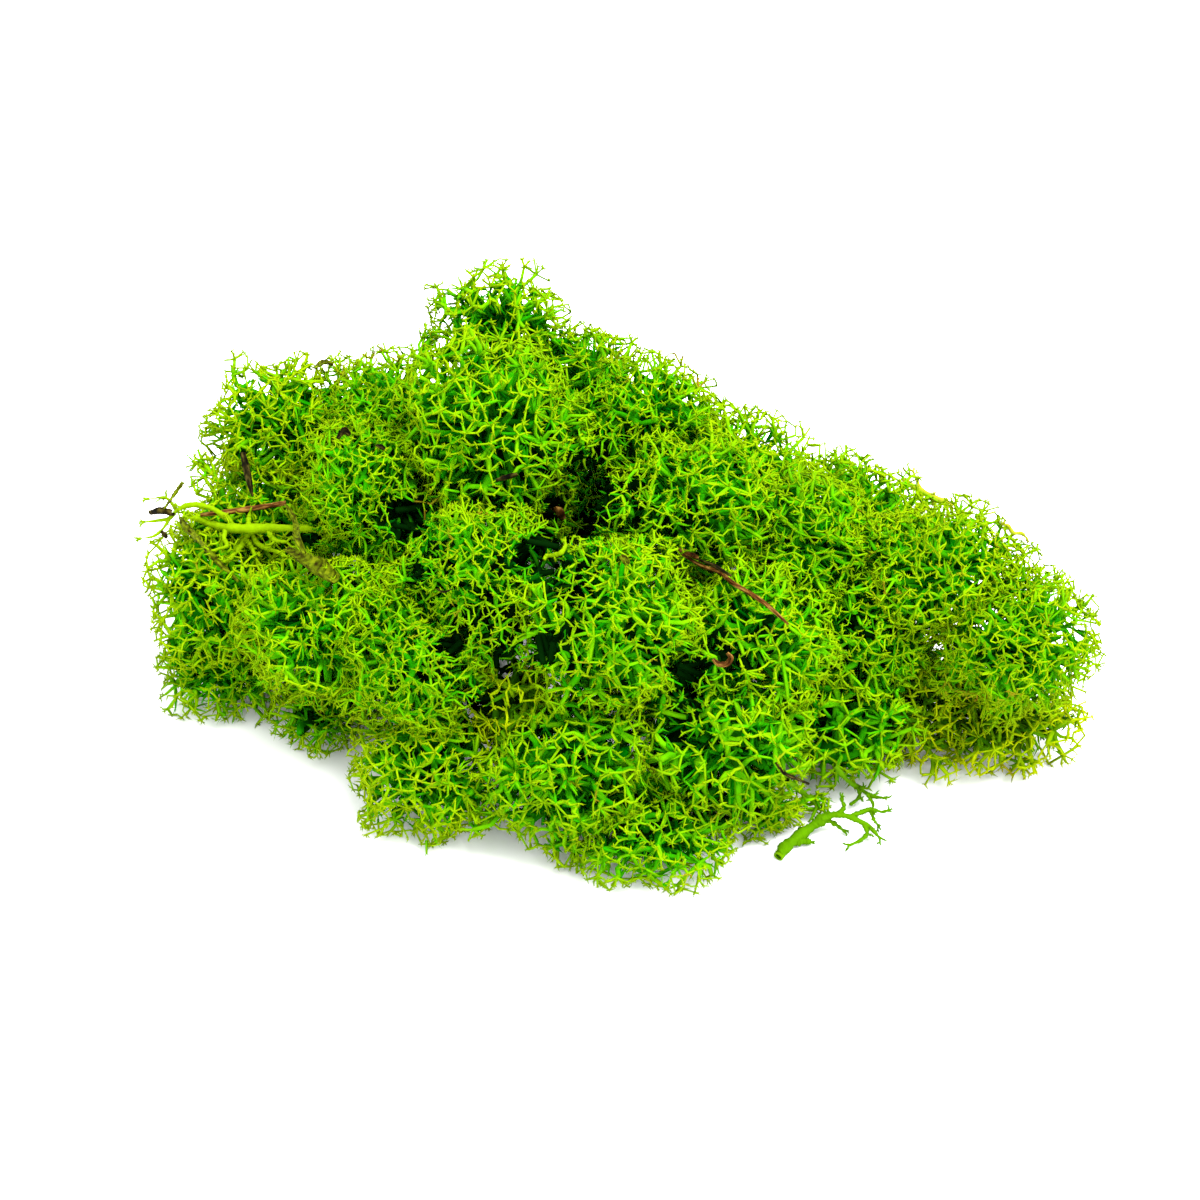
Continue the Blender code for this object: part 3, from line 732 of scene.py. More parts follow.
class Net:
    """Collects tubes and tips, and makes one mesh of them."""

    def __init__(self, keys):
        self.points = []
        self.loops = []
        self.sizes = []
        self.values = {key: [] for key in keys}
        self.total = 0

    def add(self, paths, sections, **values):
        """Adds tubes: paths (tube, ring, xyz), sections (tube, ring, side, 2), values (tube, ring, side)."""
        count, rings, sides = sections.shape[:3]
        across, beside = frames(paths)
        ring = across[:, :, None] * sections[..., :1] + beside[:, :, None] * sections[..., 1:]
        index = np.arange(count * rings * sides).reshape(count, rings, sides) + self.total
        beyond = np.roll(index, -1, axis=2)
        quads = np.stack([index[:, :-1], beyond[:, :-1], beyond[:, 1:], index[:, 1:]], axis=-1)
        faces = [quads.reshape(-1, 4), index[:, -1]]
        self.keep(paths[:, :, None] + ring, faces, (count, rings), sides, values)

    def add_tips(self, starts, ends, radii, **values):
        """Adds pointed tips. A value is (tip, 2) or less: at the start and at the end."""
        count = len(starts)
        along = unit(ends - starts)
        across = unit(crosswise(along))
        ring = rings_of(across, np.cross(along, across), TIP.sides)
        base = starts[:, None] + ring * np.asarray(radii)[:, None, None]
        first = (np.arange(count) * (TIP.sides + 1) + self.total)[:, None]
        faces = [first + np.array((a, (a + 1) % TIP.sides, TIP.sides)) for a in range(TIP.sides)]
        corners = [0] * TIP.sides + [1]
        spread = {key: np.broadcast_to(value, (count, 2))[:, corners] for key, value in values.items()}
        points = np.concatenate([base, ends[:, None]], axis=1)
        self.keep(points, [np.concatenate(faces)], (count, TIP.sides + 1), 1, spread)

    def keep(self, points, faces, shape, sides, values):
        self.points.append(points.reshape(-1, 3))
        for group in faces:
            self.loops.append(group.reshape(-1))
            self.sizes.append(np.full(len(group), group.shape[1]))
        for key, kept in self.values.items():
            value = np.asarray(values.get(key, 0.0))
            value = value if value.ndim == 3 else value[..., None]
            kept.append(np.broadcast_to(value, (*shape, sides)).reshape(-1))
        self.total += len(self.points[-1])

    def piece(self, name, slot, material, node=None):
        """The object of everything collected. It stands for that CAD node, if one is given."""
        points = np.concatenate(self.points)
        loops = np.concatenate(self.loops)
        sizes = np.concatenate(self.sizes)
        data = bpy.data.meshes.new(name)
        data.vertices.add(len(points))
        data.vertices.foreach_set("co", points.ravel())
        data.loops.add(len(loops))
        data.loops.foreach_set("vertex_index", loops)
        data.polygons.add(len(sizes))
        data.polygons.foreach_set("loop_start", np.cumsum(sizes) - sizes)
        data.polygons.foreach_set("use_smooth", np.ones(len(sizes), bool))
        data.update(calc_edges=True)
        for key, kept in self.values.items():
            values = np.concatenate(kept).astype(np.float32)
            data.attributes.new(key, "FLOAT", "POINT").data.foreach_set("value", values)
        data.materials.append(material)
        made = placed(name, data)
        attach(made, "root")
        if node:
            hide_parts(node)
        return made


def arcs(starts, ends, outward, rings, random, sweep=SWEEP, wobble=WOBBLE):
    """Curves from the starts to the ends that leave sideways and then turn outward."""
    share = np.linspace(0, 1, rings)[None, :, None]
    chord = (ends - starts)[:, None]
    outward = outward[:, None]
    rise = dot(chord, outward) * outward
    aside = chord - rise
    bent = aside * np.sin(share * math.pi / 2) + rise * (1 - np.cos(share * math.pi / 2))
    paths = starts[:, None] + bent * sweep + chord * share * (1 - sweep)
    length = np.linalg.norm(chord, axis=2, keepdims=True)
    shake = random.normal(size=paths.shape) * length * wobble
    shake[:, 0] = 0
    shake[:, -1] = 0
    return paths + shake


def between(start, end, rings):
    """Values that run evenly from one to the other: (tube, ring)."""
    share = np.linspace(0, 1, rings)[None]
    return np.reshape(start, (-1, 1)) * (1 - share) + np.reshape(end, (-1, 1)) * share


def heart_of(name, points):
    """How near each point is to the open middle of a cushion, from 0 to 1."""
    if name not in HEARTS:
        return np.zeros(len(points))
    across, up, reach = HEARTS[name]
    distance = np.linalg.norm(in_view(points) - (across, up), axis=1)
    return np.exp(-((distance / reach) ** 2))


def seen_from_eye(points, normals, tree):
    """Whether the photograph sees a cushion's solid there, or a little above it."""
    clear = np.zeros(len(points), bool)
    for height in SEEN_STARTS:
        starts = points + normals * height
        directions = unit(EYE - starts)
        pairs = zip(starts.tolist(), directions.tolist())
        clear |= np.array([tree.ray_cast(start, direction)[0] is None for start, direction in pairs])
    return clear & (dot(normals, directions)[:, 0] > UNSEEN_FACING)


Probes = namedtuple("Probes", "places normals free seen")
Spots = namedtuple("Spots", "places normals free heart wide")
Growth = namedtuple("Growth", "levels parents joints root tones bulk")
Sides = namedtuple("Sides", "holders style random")


def probes_of(solid, tree, random):
    """Points all over a solid, how free each one is, and whether the photograph sees it."""
    places, normals = scattered(solid, PROBES, random)
    return Probes(places, normals, openness(places, normals, tree), seen_from_eye(places, normals, tree))


def gap_at(points):
    """How far each point is in a gap between cushions, from 0 to 1. Branches there get painted shade."""
    views = in_view(points)
    gap = np.zeros(len(points))
    for across, up, reach in GAPS:
        distance = np.linalg.norm(views - (across, up), axis=1)
        gap = np.maximum(gap, np.clip((GAP_END - distance / reach) / GAP_FADE, 0, 1))
    return gap


def bulge_points(name, solid, spacing, random):
    """Points all over the bulges of a cushion, that far apart."""
    places = []
    normals = []
    for tuft, across, up, reach_mm in BULGES:
        if tuft != name:
            continue
        centre = inside(tree_of([solid]), across, up)
        centre += TOWARDS * max(0, reach_mm * MM * BULGE_REST - centre[2]) / TOWARDS[2]
        outward = unit(random.normal(size=(int(4 * math.pi * (reach_mm * MM / spacing) ** 2), 3)))
        outward = outward[dot(outward, unit(centre - solid[0].mean(axis=0)))[:, 0] > BULGE_FACING]
        places.append(centre + outward * reach_mm * MM)
        normals.append(outward)
    if not places:
        return np.zeros((0, 3)), np.zeros((0, 3))
    places = np.concatenate(places)
    above = places[:, 2] > BULGE_FLOOR
    return places[above], np.concatenate(normals)[above]


def candidates(name, spacing, probes, solid, random):
    """Places where the tips of a cushion could stand, how free each is, and whether the eye sees it."""
    places, normals = scattered(solid, int(area_of(solid) / spacing**2 * TIP_CANDIDATES), random)
    bulges = bulge_points(name, solid, spacing / math.sqrt(TIP_CANDIDATES), random)
    bulging = np.arange(len(places) + len(bulges[0])) >= len(places)
    places = np.concatenate([places, bulges[0]])
    normals = np.concatenate([normals, bulges[1]])
    turned = np.hstack([probes.places, probes.normals * PROBE_TURN])
    probe = nearest_to(np.hstack([places, normals * PROBE_TURN]), turned)
    free = np.where(bulging, 1.0, probes.free[probe])
    seen = probes.seen[probe] | bulging
    keep = (free > LEAST_FREE) & ~(seen & (gap_at(places) > random.random(len(places))))
    if TUFT_STYLES.get(name) == "lace":
        keep &= seen | (normals[:, 2] > LACE_FACING)
    return [values[keep] for values in (places, normals, free, seen)]


def tip_spots(name, style, probes, solid, random):
    """Where the tips of a cushion stand on its solid."""
    spacing = TIP_SPACING * style.spacing
    places, normals, free, seen = candidates(name, spacing, probes, solid, random)
    heart = heart_of(name, places)
    wide = np.where(seen, 1, UNSEEN_ROOM) * np.where(normals[:, 2] < UNDERSIDE_FACING, UNDERSIDE_ROOM, 1)
    picked = spread_out(places, spacing * wide * (1 + HEART_ROOM * heart))
    places, normals, free, heart, wide = (values[picked] for values in (places, normals, free, heart, wide))
    shift = random.normal(size=normals.shape) * TIP_SHIFT * spacing
    shift -= dot(shift, normals) * normals
    sunk = SUNK + ripples(places, RIPPLE_LENGTH, random) * RIPPLE_HEIGHT + HEART_DEPTH * heart
    sunk -= (1 - free) ** 2 * VALLEY_FILL
    return Spots(places + shift - sunk[:, None] * normals, normals, free, heart, wide)


def fork_levels(spots, style):
    """The tips and the forks under them, level by level, and which fork of the next level each grows from."""
    levels = [spots]
    parents = []
    for fork in FORKS:
        below = levels[-1]
        room = fork.spacing * style.spacing * below.wide * (1 + HEART_ROOM * below.heart)
        seeds = spread_out(below.places, room)
        parent = nearest_to(below.places, below.places[seeds])
        share = np.bincount(parent, minlength=len(seeds))
        means = []
        for values in below:
            total = np.zeros((len(seeds), *values.shape[1:]))
            np.add.at(total, parent, values)
            means.append(total / share.reshape(-1, *(1,) * (values.ndim - 1)))
        levels.append(Spots(means[0], unit(means[1]), *means[2:]))
        parents.append(parent)
    return levels, parents


def lifts_of(levels, parents, random):
    """How far each tip and fork is lifted. Each adds to what it grows from."""
    lifts = [np.zeros(len(levels[-1].places))]
    for level in range(len(parents) - 1, -1, -1):
        own = np.clip(random.normal(size=len(parents[level])), -MOST_LIFT, MOST_LIFT)
        lift = lifts[0][parents[level]] + own * LEVELS[level].lift
        if level == PROUD_LEVEL:
            lift += (random.random(len(lift)) < PROUD_SHARE) * PROUD_HEIGHT
        lifts.insert(0, lift)
    return lifts


def joints_of(levels, lifts, style, random):
    """Where the tips and forks are in space."""
    joints = []
    for level, spots, lift in zip(LEVELS, levels, lifts):
        shift = random.normal(size=spots.places.shape) * FORK_SHIFT * level.spacing
        depth = level.depth * style.spacing * spots.wide - lift
        joint = spots.places - spots.normals * depth[:, None] + shift
        clear_floor(joint, level.radius * style.thickness)
        joints.append(joint)
    return joints


def planned(name, style, probes, solid, random):
    """Where the tips and forks of a cushion are, what each grows from, and how yellow each is."""
    levels, parents = fork_levels(tip_spots(name, style, probes, solid, random), style)
    joints = joints_of(levels, lifts_of(levels, parents, random), style, random)
    root = (joints[-1].mean(axis=0) + solid[0].mean(axis=0)) / 2
    root[2] = max(root[2], ROOT_HEIGHT)
    group = np.clip(random.random(len(levels[2].places)) + style.yellow, 0, 1)
    tones = [group[parents[1][parents[0]]], group[parents[1]], group]
    tones += [np.full(len(spots.places), INNER_TONE) for spots in levels[len(tones) :]]
    return Growth(levels, parents, joints, root, tones, min(1, size_of(solid) / FULL_SIZE))


def brown_at(places, level, style):
    """How brown each branch is. Only the tips and the first forks have dried."""
    patch = ripples(places, BROWN_PATCH, np.random.default_rng(SEED)) + style.brown * BROWN_REACH - 1
    return (np.clip(patch * BROWN_SHARPNESS, 0, 1) * (level < BROWN_LEVELS))[:, None]


def add_level(net, growth, level, style, random):
    """The tips of a cushion, or the branches that end in the forks of one level."""
    spots = growth.levels[level]
    count = len(spots.places)
    above, below = LEVELS[level : level + 2]
    if below is ROOT:
        tube = below
        starts = np.broadcast_to(growth.root, (count, 3))
        outward = spots.normals
    else:
        tube = above
        starts = growth.joints[level + 1][growth.parents[level]]
        outward = growth.levels[level + 1].normals[growth.parents[level]]
    tone = np.clip(growth.tones[level] + random.normal(0, TONE_SPREAD, count), 0, 1)[:, None]
    # Painted shade: darker where the air over a branch is closed in and in the gaps, less where the style
    # lifts it.
    shade = (1 - spots.free) * SHADE + gap_at(spots.places) * GAP_PAINTED_SHADE - style.light
    deep = between(below.depth / DEEPEST + shade, above.depth / DEEPEST + shade, tube.rings)
    values = {"deep": np.clip(deep, 0, 1), "tone": tone, "brown": brown_at(spots.places, level, style)}
    thick = style.thickness ** THICKNESS_POWERS[level] * random.uniform(*THICKNESS_RANGE, count)
    thick = thick * spots.wide**ROOM_THICKNESS * (1 + HEART_THICKNESS * spots.heart)
    if level >= BULK_LEVEL:
        thick *= growth.bulk
    if level == 0:
        net.add_tips(starts, growth.joints[0], below.radius * thick * TIP_TAPER, **values)
        add_spikes(net, starts, growth.joints[0], below.radius * thick * SPIKE_TAPER, spots, values, random)
        return
    paths = arcs(starts, growth.joints[level], outward, tube.rings, random)
    radii = between(below.radius * TAPER * thick, above.radius * thick, tube.rings)
    clear_floor(paths, radii)
    net.add(paths, round_sections(radii, tube.sides), **values)


def grow(name, style, tree, solid, random):
    """The net of branches of one cushion."""
    probes = probes_of(solid, tree, random)
    growth = planned(name, style, probes, solid, random)
    net = Net(("deep", "tone", "brown"))
    for level in range(len(growth.levels)):
        add_level(net, growth, level, style, random)
    add_links(net, growth, style, random)
    fill(net, growth, probes, solid, style, random)
    add_stems(net, solid, growth.root, style, random)
    return net


def fill(net, growth, probes, solid, style, random):
    """Side branches under the outer net, all through the cushion, in its seams and in the gaps. Those in the
    seams and gaps get extra painted shade.
    """
    outer = growth.levels[1]
    sides = Sides(np.concatenate([growth.joints[2], growth.joints[3], growth.root[None]]), style, random)
    seen = np.flatnonzero(outer.wide < SEEN_ROOM)
    chosen = random.choice(seen, int(len(seen) * OUTER_SIDE_SHARE)) if len(seen) else seen
    add_side_branches(net, outer.places[chosen], outer.normals[chosen], OUTER_SIDE_DEPTHS, sides)
    places, normals = scattered(solid, int(area_of(solid) / SIDE_AREA), random)
    add_side_branches(net, places, normals, SIDE_DEPTHS, sides)
    seams = probes.free <= LEAST_FREE
    gaps = gap_at(probes.places) > 0
    for chosen, depths, extra_painted_shade, thickness in (
        (seams, SEAM_DEPTHS, SEAM_PAINTED_SHADE, SEAM_THICKNESS),
        (gaps, GAP_STEM_DEPTHS, GAP_STEM_PAINTED_SHADE, GAP_STEM_THICKNESS),
    ):
        places, normals = probes.places[chosen], probes.normals[chosen]
        add_side_branches(net, places, normals, depths, sides, extra_painted_shade, thickness)


def add_spikes(net, starts, ends, radii, spots, values, random):
    """A spike at the side of each tip that the photograph sees."""
    near = spots.wide < SEEN_ROOM
    along = (ends - starts)[near]
    lean = unit(np.cross(along, random.normal(size=along.shape)))
    roots = starts[near] + along * SPIKE_START
    tips = roots + unit(unit(along) + lean * SPIKE_LEAN) * SPIKE_LENGTH
    clear_floor(tips)
    deep = ((1 - spots.free) * SHADE)[near, None]
    net.add_tips(roots, tips, radii[near], deep=deep, tone=values["tone"][near], brown=values["brown"][near])


def add_links(net, growth, style, random):
    """Thin links from some forks to the nearest one that grows from another branch."""
    forks, joints, parents = (values[1] for values in (growth.levels, growth.joints, growth.parents))
    chosen = np.flatnonzero(random.random(len(joints)) < LINK_SHARE)
    apart = np.linalg.norm(joints[chosen][:, None] - joints[None], axis=2)
    apart[parents[chosen][:, None] == parents[None]] = np.inf
    near = apart.min(axis=1) < FORKS[0].spacing * style.spacing * LINK_REACH * forks.wide[chosen]
    other = apart.argmin(axis=1)[near]
    chosen = chosen[near]
    paths = arcs(joints[chosen], joints[other], forks.normals[chosen], THIN_RINGS, random)
    radii = LINK_RADIUS * style.thickness * np.ones((len(chosen), THIN_RINGS))
    clear_floor(paths, radii)
    deep = FORKS[0].depth / DEEPEST + (1 - forks.free[chosen]) * SHADE
    tone = growth.tones[1][chosen]
    net.add(paths, round_sections(radii, THIN_SIDES), deep=deep[:, None], tone=tone[:, None])


def add_side_branches(net, places, normals, depths, sides, extra_painted_shade=0.0, thickness=1.0):
    """Short branches with two tips each, from the holders towards places under the outside, with painted
    shade that grows with their depth.
    """
    holders, style, random = sides
    count = len(places)
    if not count:
        return
    gap = gap_at(places)
    depth = random.uniform(*depths, count) + gap * GAP_DEPTH
    ends = places - normals * depth[:, None] + random.normal(size=(count, 3)) * SIDE_SHIFT
    ends[:, 2] = np.maximum(ends[:, 2], SIDE_FLOOR)
    starts = holders[nearest_to(ends - normals * SIDE_HOLD, holders)]
    length = np.linalg.norm(ends - starts, axis=1, keepdims=True)
    starts = ends - unit(ends - starts) * np.minimum(length, SIDE_LENGTH + depth[:, None] * SIDE_STRETCH)
    thick = thickness * style.thickness**SIDE_THICKNESS * random.uniform(*SIDE_RANGE, count)
    thick *= 1 + depth * SIDE_GROWTH
    clear_floor(starts, SIDE_RADIUS * thick)
    clear_floor(ends, SIDE_RADIUS * SIDE_TAPER * thick)
    # Painted shade: darker the deeper the branch lies and in seams and gaps, darker still at its start,
    # lighter at its tips.
    dark = depth / DEEPEST + SIDE_PAINTED_SHADE + extra_painted_shade + gap * GAP_PAINTED_SHADE - style.light
    deep = np.clip(between(dark + SIDE_SHADE, dark, 2), 0, 1)
    tone = random.random(count)[:, None]
    radii = between(SIDE_RADIUS * thick, SIDE_RADIUS * SIDE_TAPER * thick, 2)
    net.add(np.stack([starts, ends], axis=1), round_sections(radii, THIN_SIDES), deep=deep, tone=tone)
    for _ in range(SIDE_TIPS):
        tips = ends + unit(ends - starts) * SIDE_TIP_LENGTH + random.normal(size=(count, 3)) * SIDE_TIP_LEAN
        clear_floor(tips)
        radii = SIDE_RADIUS * SIDE_TIP_TAPER * thick
        net.add_tips(ends, tips, radii, deep=deep - SIDE_TIP_LIGHTER, tone=tone)


def add_stems(net, solid, root, style, random):
    """Stout stems that cross the middle of a cushion, painted darkest at the root as painted shade."""
    count = int(area_of(solid) / STEM_AREA / style.spacing)
    size = size_of(solid)
    places, normals = scattered(solid, 2 * count, random)
    depth = random.uniform(*STEM_DEPTHS, 2 * count) * size
    starts, ends = np.split(places - normals * depth[:, None], 2)
    starts = starts * STEM_START + root * (1 - STEM_START)
    paths = arcs(starts, ends, normals[count:], THIN_RINGS, random, STEM_SWEEP, STEM_WOBBLE)
    thick = random.uniform(*STEM_RANGE, count) * STEM_THICKNESS * size
    radii = between(thick, STEM_TAPER * thick, THIN_RINGS)
    clear_floor(paths, radii)
    # Painted shade: darkest at the root, and darker with depth and in the gaps at their ends.
    dark = depth[count:] / DEEPEST + gap_at(ends) * GAP_PAINTED_SHADE
    deep = np.clip(between(1.0, dark, THIN_RINGS), 0, 1)
    net.add(paths, round_sections(radii, THIN_SIDES), deep=deep, tone=random.random(count)[:, None])


def smooth(values, count):
    """That many values on a smooth curve through the given ones (Catmull-Rom)."""
    values = np.asarray(values, float).reshape(len(values), -1)
    padded = np.concatenate([2 * values[:1] - values[1:2], values, 2 * values[-1:] - values[-2:-1]])
    place = np.linspace(0, len(values) - 1, count)
    first = np.minimum(place.astype(int), len(values) - 2)
    share = (place - first)[:, None]
    a, b, c, d = (padded[first + k] for k in range(4))
    bend = a - 2.5 * b + 2 * c - 0.5 * d
    turn = 0.5 * (d - a) + 1.5 * (b - c)
    return b + share * (c - a) / 2 + share**2 * bend + share**3 * turn


def passing(tree, start, direction):
    """Where a line of sight passes a solid most closely."""
    spots = [start + direction * (VIEW_DISTANCE + step * MM) for step in range(-PASSING_MM, PASSING_MM)]
    return min(spots, key=lambda spot: tree.find_nearest(spot)[3])


def sight_line(across, up):
    """The eye, and the direction in which it sees that place of the photograph."""
    eye = Vector(EYE)
    return eye, (Vector(seen_place(across, up)) - eye).normalized()


def inside(tree, across, up):
    """The middle of a solid where the line of sight through that place crosses it, or passes it."""
    start, direction = sight_line(across, up)
    near = tree.ray_cast(start, direction)[3]
    if near is None:
        return np.array(passing(tree, start, direction))
    far_start = start + direction * (2 * VIEW_DISTANCE)
    far = 2 * VIEW_DISTANCE - tree.ray_cast(far_start, -direction)[3]
    return np.array(start + direction * (near + min(far - near, MOST_INSIDE) / 2))


def resting(tree, across, up):
    """The place on the cushions, or close beside them, that shows there in the photograph."""
    start, direction = sight_line(across, up)
    near = tree.ray_cast(start, direction)[3]
    if near is None:
        near = min((passing(tree, start, direction) - start).length, (LOOSE_LIFT - start.z) / direction.z)
    return np.array(start + direction * (near - LOOSE_LIFT))


def rough_radii(radii, size, random):
    """The same radii with smooth random bumps."""
    bumps = np.convolve(random.normal(size=len(radii)), np.ones(ROUGH_RINGS) / ROUGH_RINGS, "same")
    return radii * (1 + bumps * ROUGH_GAIN * size)


def flake_sections(widths, random):
    """Outlines of a curled flake of bark: a thin, bent ribbon."""
    turns = turns_of(ARM_SIDES["flake"])
    curl = np.linspace(*FLAKE_CURLS, len(widths)) + random.normal(0, FLAKE_CURL_SPREAD, len(widths))
    edge = 1 + random.normal(0, FLAKE_EDGE_SPREAD, (len(widths), len(turns)))
    arc = curl[:, None] * np.cos(turns)[None] * edge
    reach = widths[:, None] / FLAKE_BEND + np.sin(turns)[None] * FLAKE_THICKNESS
    sections = np.stack([reach * np.sin(arc), reach * np.cos(arc)], axis=-1)
    return sections - sections.mean(axis=1, keepdims=True)


def add_arm(net, kind, points, radii_mm, random):
    """One arm of a caught piece."""
    path = smooth(points, ARM_RINGS)
    radii = smooth(radii_mm, ARM_RINGS)[:, 0] * MM
    clear_floor(path, radii * ROUGH_ROOM)
    rough = rough_radii(radii, ROUGHNESS[kind], random)
    turns = turns_of(ARM_SIDES[kind])[None, None]
    if kind == "flake":
        sections = flake_sections(rough, random)
    else:
        grit = random.normal(0, ROUGHNESS[kind] / 2, (ARM_RINGS, turns.size, 1))
        sections = round_sections(rough, turns.size) * (1 + grit)
    length = np.cumsum(np.linalg.norm(np.diff(path, axis=0, prepend=path[:1]), axis=1))
    grain = {"along": (length / MM)[None], "across": np.cos(turns), "beside": np.sin(turns)}
    net.add(path[None], sections[None], deep=ARM_DEEP, tone=ARM_TONE, **grain)
    return path


def sprout(net, start, direction, length, radius, forks, random):
    """A small bush of pointed arms, each of which forks again."""
    end = start + direction * length
    clear_floor(end, radius)
    bend = (start + end) / 2 + random.normal(size=3) * length * SPRIG_BEND
    if not forks:
        net.add_tips(start[None], end[None], [radius], deep=(ARM_DEEP, SPRIG_TIP_DEEP), tone=ARM_TONE)
        return
    radii = np.array([SPRIG_TAPER]) * radius
    net.add(np.array([[start, bend, end]]), round_sections(radii, SPRIG_SIDES), deep=ARM_DEEP, tone=ARM_TONE)
    for _ in range(random.integers(*SPRIG_NEXT_ARMS)):
        lean = unit(direction + random.normal(size=3) * SPRIG_NEXT_LEAN)
        shorter = length * random.uniform(*SPRIG_NEXT_LENGTHS)
        sprout(net, end, lean, shorter, radius * SPRIG_NEXT_RADIUS, forks - 1, random)


def add_sprigs(net, sprigs, paths, random):
    """Small bushes at places of a piece."""
    points = np.concatenate(paths)
    runs = np.concatenate([unit(np.gradient(path, axis=0)) for path in paths])
    views = in_view(points)
    ends = np.cumsum([len(path) for path in paths]) - 1
    for across, up, length_mm in sprigs:
        nearest = np.linalg.norm(views - (across, up), axis=1).argmin()
        onward, outward = (1.0, SPRIG_END_LEAN) if nearest in ends else (SPRIG_ONWARD, 1.0)
        length = length_mm * MM * SPRIG_LENGTH
        for _ in range(SPRIG_ARMS):
            aside = random.normal(size=3)
            aside = unit(aside - dot(aside, runs[nearest]) * runs[nearest])
            direction = unit(runs[nearest] * onward + aside * outward)
            sprout(net, points[nearest], direction, length, SPRIG_RADIUS, SPRIG_FORKS, random)


def add_hollow_end(net, tree, arm):
    """The cut end of the broken branch, with its hollow, painted darker inside as painted shade."""
    (*outer, radius_mm), (*inner, _) = arm[:2]
    radius = radius_mm * MM
    end = inside(tree, *outer)
    axis = unit(inside(tree, *inner) - end)
    clear_floor(end, radius)
    path = end + axis * (np.array(HOLLOW_STEPS) * radius)[:, None]
    across = unit(np.cross(axis, RIGHT))
    ring = rings_of(across, np.cross(axis, across), HOLLOW_SIDES)
    points = path[:, None] + ring * (np.array(HOLLOW_WIDTHS) * radius)[:, None, None]
    index = np.arange(len(path) * HOLLOW_SIDES).reshape(len(path), HOLLOW_SIDES) + net.total
    beyond = np.roll(index, -1, axis=1)
    quads = np.stack([index[:-1], beyond[:-1], beyond[1:], index[1:]], axis=-1).reshape(-1, 4)
    values = {"deep": np.array([HOLLOW_DEEP]), "tone": ARM_TONE}
    net.keep(points, [quads, index[-1:]], (1, len(path)), HOLLOW_SIDES, values)


def new_material(name):
    made = bpy.data.materials.new(name)
    made.use_nodes = True
    return made, made.node_tree.nodes, made.node_tree.links


def attribute(nodes, key):
    made = nodes.new("ShaderNodeAttribute")
    made.attribute_name = key
    return made.outputs["Fac"]


def ramp(nodes, links, stops, value):
    """A colour ramp over a value."""
    made = nodes.new("ShaderNodeValToRGB")
    elements = made.color_ramp.elements
    while len(elements) < len(stops):
        elements.new(0.5)
    for element, (position, colour) in zip(elements, stops):
        element.position = position
        element.color = (*colour, 1)
    links.new(value, made.inputs["Fac"])
    return made.outputs["Color"]


def mapped(nodes, links, value, low, high):
    made = nodes.new("ShaderNodeMapRange")
    made.inputs["To Min"].default_value = low
    made.inputs["To Max"].default_value = high
    links.new(value, made.inputs["Value"])
    return made.outputs["Result"]


def noise(nodes, links, scale, detail):
    """Fine grain that stays with the object."""
    place = nodes.new("ShaderNodeTexCoord")
    return noise_at(nodes, links, place.outputs["Object"], scale, detail)


def noise_at(nodes, links, place, scale, detail):
    made = nodes.new("ShaderNodeTexNoise")
    made.inputs["Scale"].default_value = scale
    made.inputs["Detail"].default_value = detail
    links.new(place, made.inputs["Vector"])
    return made.outputs["Fac"]


def arithmetic(nodes, links, operation, first, second):
    made = nodes.new("ShaderNodeMath")
    made.operation = operation
    links.new(first, made.inputs[0])
    if isinstance(second, float):
        made.inputs[1].default_value = second
    else:
        links.new(second, made.inputs[1])
    return made.outputs["Value"]


def add_grain(nodes, links, grain):
    """The relief, the roughness and the dull shine of a material."""
    shader = nodes["Principled BSDF"]
    fine = noise(nodes, links, *grain.noise)
    bump = nodes.new("ShaderNodeBump")
    bump.inputs["Strength"].default_value = grain.strength
    bump.inputs["Distance"].default_value = grain.height
    links.new(fine, bump.inputs["Height"])
    links.new(bump.outputs["Normal"], shader.inputs["Normal"])
    links.new(mapped(nodes, links, fine, *grain.roughness), shader.inputs["Roughness"])
    shader.inputs["Specular IOR Level"].default_value = grain.specular


def lichen_material(name, stops, grain=TIP_GRAIN):
    """Lichen whose colour runs from the tips to the deepest branches, darker with depth as painted shade,
    with brown where its tips dried.
    """
    made, nodes, links = new_material(name)
    tone = attribute(nodes, "tone")
    patches = mapped(nodes, links, noise(nodes, links, *PATCH_NOISE), *PATCH_VALUES)
    value = arithmetic(nodes, links, "MULTIPLY", mapped(nodes, links, tone, *TONE_VALUES), patches)
    hue = nodes.new("ShaderNodeHueSaturation")
    links.new(value, hue.inputs["Value"])
    links.new(mapped(nodes, links, tone, *TONE_HUES), hue.inputs["Hue"])
    links.new(ramp(nodes, links, stops, attribute(nodes, "deep")), hue.inputs["Color"])
    mix = nodes.new("ShaderNodeMix")
    mix.data_type = "RGBA"
    mix.inputs["B"].default_value = (*BROWN_TIP, 1)
    links.new(attribute(nodes, "brown"), mix.inputs["Factor"])
    links.new(hue.outputs["Color"], mix.inputs["A"])
    links.new(mix.outputs["Result"], nodes["Principled BSDF"].inputs["Base Color"])
    add_grain(nodes, links, grain)
    return made


def streaks(nodes, links, length_mm):
    """Grain that runs along a piece. Its waves are that long, and as wide as the piece is thick."""
    place = nodes.new("ShaderNodeCombineXYZ")
    along = arithmetic(nodes, links, "DIVIDE", attribute(nodes, "along"), length_mm)
    links.new(along, place.inputs["X"])
    links.new(attribute(nodes, "across"), place.inputs["Y"])
    links.new(attribute(nodes, "beside"), place.inputs["Z"])
    return noise_at(nodes, links, place.outputs["Vector"], 1, STREAK_DETAIL)


def bark_material(name, stops, streak_mm, grain=BARK_GRAIN):
    """Wood, bark or a needle: streaks and fine grain in one range of colours."""
    made, nodes, links = new_material(name)
    colour = ramp(nodes, links, stops, streaks(nodes, links, streak_mm))
    links.new(colour, nodes["Principled BSDF"].inputs["Base Color"])
    add_grain(nodes, links, grain)
    return made


